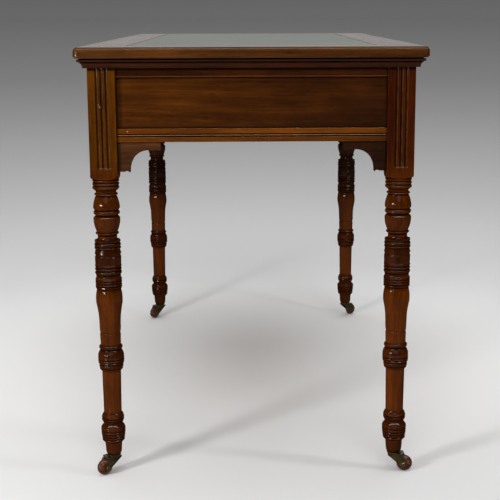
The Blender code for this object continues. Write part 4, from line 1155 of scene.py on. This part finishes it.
# Sky: its grey by the direction's height, and a bright backdrop past the far end of the desk
SKY_LOW_GREY = 0.11
SKY_GREYS = (
    (0.0, 0.137), (0.016, 0.121), (0.1, SKY_LOW_GREY), (0.17, SKY_LOW_GREY),
    (0.36, 0.14), (0.6, 0.18), (0.8, 0.21), (1.0, 0.22),
)
BACKDROP_GLOW = 0.6
BACKDROP_SIDES = (-0.35, -0.9)
BACKDROP_LOWER_EDGE = (0.012, 0.05)
BACKDROP_UPPER_EDGE = (0.6, 0.25)

# Distant lamps: bearing they come from, in degrees from +X, elevation, strength, and size in radians
SUNS = {
    "overhead": (0, 93, 1.2, 0.95),
    "front": (0, 38, 1.25, 0.75),
}

# Soft lamps: place, target, width, height, power, and whether they light or only add highlights
SOFTBOXES = {
    "key": ((1.8, -1.39, 0.95), (0.3, -0.1, 0.4), 0.3, 0.15, 25, True),
    "side": ((1.06, 1.87, 0.9), (0.3, 0.1, 0.4), 0.2, 0.12, 10, True),
    "sheen": ((1.3, 0, 2.9), (0, 0, 0.35), 5.0, 0.35, 230, False),
    "spark": ((1.8, -1.4, 0.705), (0.5, -0.25, 0.45), 0.9, 0.085, 42, False),
}


def greys(stops):
    """Ramp stops of plain greys."""
    return [(at, (grey, grey, grey)) for at, grey in stops]


def add_floor():
    """Pale studio floor that greys with distance."""
    mesh = bpy.data.meshes.new("floor")
    shape = bmesh.new()
    at_floor = shift(z=-FLOOR_DROP)
    bmesh.ops.create_circle(shape, cap_ends=True, radius=FLOOR_RADIUS, segments=FLOOR_SIDES, matrix=at_floor)
    shape.to_mesh(mesh)
    shape.free()
    floor = add_object("floor", mesh)
    material, graph = new_graph("floor")
    parts = graph.parts(graph.place())
    flat = graph.joined(graph.math("SUBTRACT", parts[0], FLOOR_CENTRE), parts[1], 0.0)
    away = graph.add("VectorMath", {0: flat}, operation="LENGTH").outputs["Value"]
    share = graph.math("DIVIDE", away, graph.math("ADD", away, FLOOR_REACH))
    stops = [(at / (at + FLOOR_REACH), grey) for at, grey in FLOOR_GREYS]
    graph.finish(Base_Color=graph.ramp(share, greys(stops)), Roughness=1.0, Specular_IOR_Level=0.0)
    mesh.materials.append(material)


def aimed(data, away):
    """A lamp that shines against a direction."""
    lamp = add_object(data.name, data)
    lamp.matrix_world = away.to_track_quat("Z", "Y").to_matrix().to_4x4()
    return lamp


def add_sun(name, toward, elevation, strength, size):
    """Distant lamp."""
    bearing = math.radians(toward)
    rise = math.radians(elevation)
    away = Vector((math.cos(bearing) * math.cos(rise), math.sin(bearing) * math.cos(rise), math.sin(rise)))
    data = bpy.data.lights.new(name, "SUN")
    data.energy = strength
    data.angle = size
    aimed(data, away)


def add_softbox(name, place, target, width, height, power, lights):
    """Soft lamp that either lights or adds soft highlights."""
    data = bpy.data.lights.new(name, "AREA")
    data.shape = "RECTANGLE"
    data.size = width
    data.size_y = height
    data.energy = power
    lamp = aimed(data, Vector(place) - Vector(target))
    lamp.matrix_world = Matrix.Translation(place) @ lamp.matrix_world
    lamp.visible_camera = False
    lamp.visible_diffuse = lights
    lamp.visible_glossy = not lights


def light_world():
    """Studio surroundings: grey, lighter overhead, bright past the desk's far end."""
    world = bpy.data.worlds.new("studio")
    bpy.context.scene.world = world
    world.use_nodes = True
    graph = Graph(world.node_tree)
    parts = graph.parts(graph.add("TexCoord").outputs["Generated"])
    colour = graph.ramp(parts[2], greys(SKY_GREYS))
    behind = graph.span(parts[0], *BACKDROP_SIDES)
    edges = (graph.span(parts[2], *edge) for edge in (BACKDROP_LOWER_EDGE, BACKDROP_UPPER_EDGE))
    backdrop = graph.times(behind, graph.times(*edges))
    glow = graph.times(backdrop, BACKDROP_GLOW)
    strength = graph.math("ADD", 1.0, graph.math("DIVIDE", glow, SKY_LOW_GREY))
    background = graph.add("Background", {"Color": colour, "Strength": strength})
    graph.add("OutputWorld", {0: background.outputs[0]})


make_camera()
add_legs()
add_brackets()
add_frame_and_top()
add_castors()
add_drawers()
add_floor()
light_world()
for name, settings in SUNS.items():
    add_sun(name, *settings)
for name, settings in SOFTBOXES.items():
    add_softbox(name, *settings)
scene = bpy.context.scene
scene.view_settings.view_transform = "Standard"
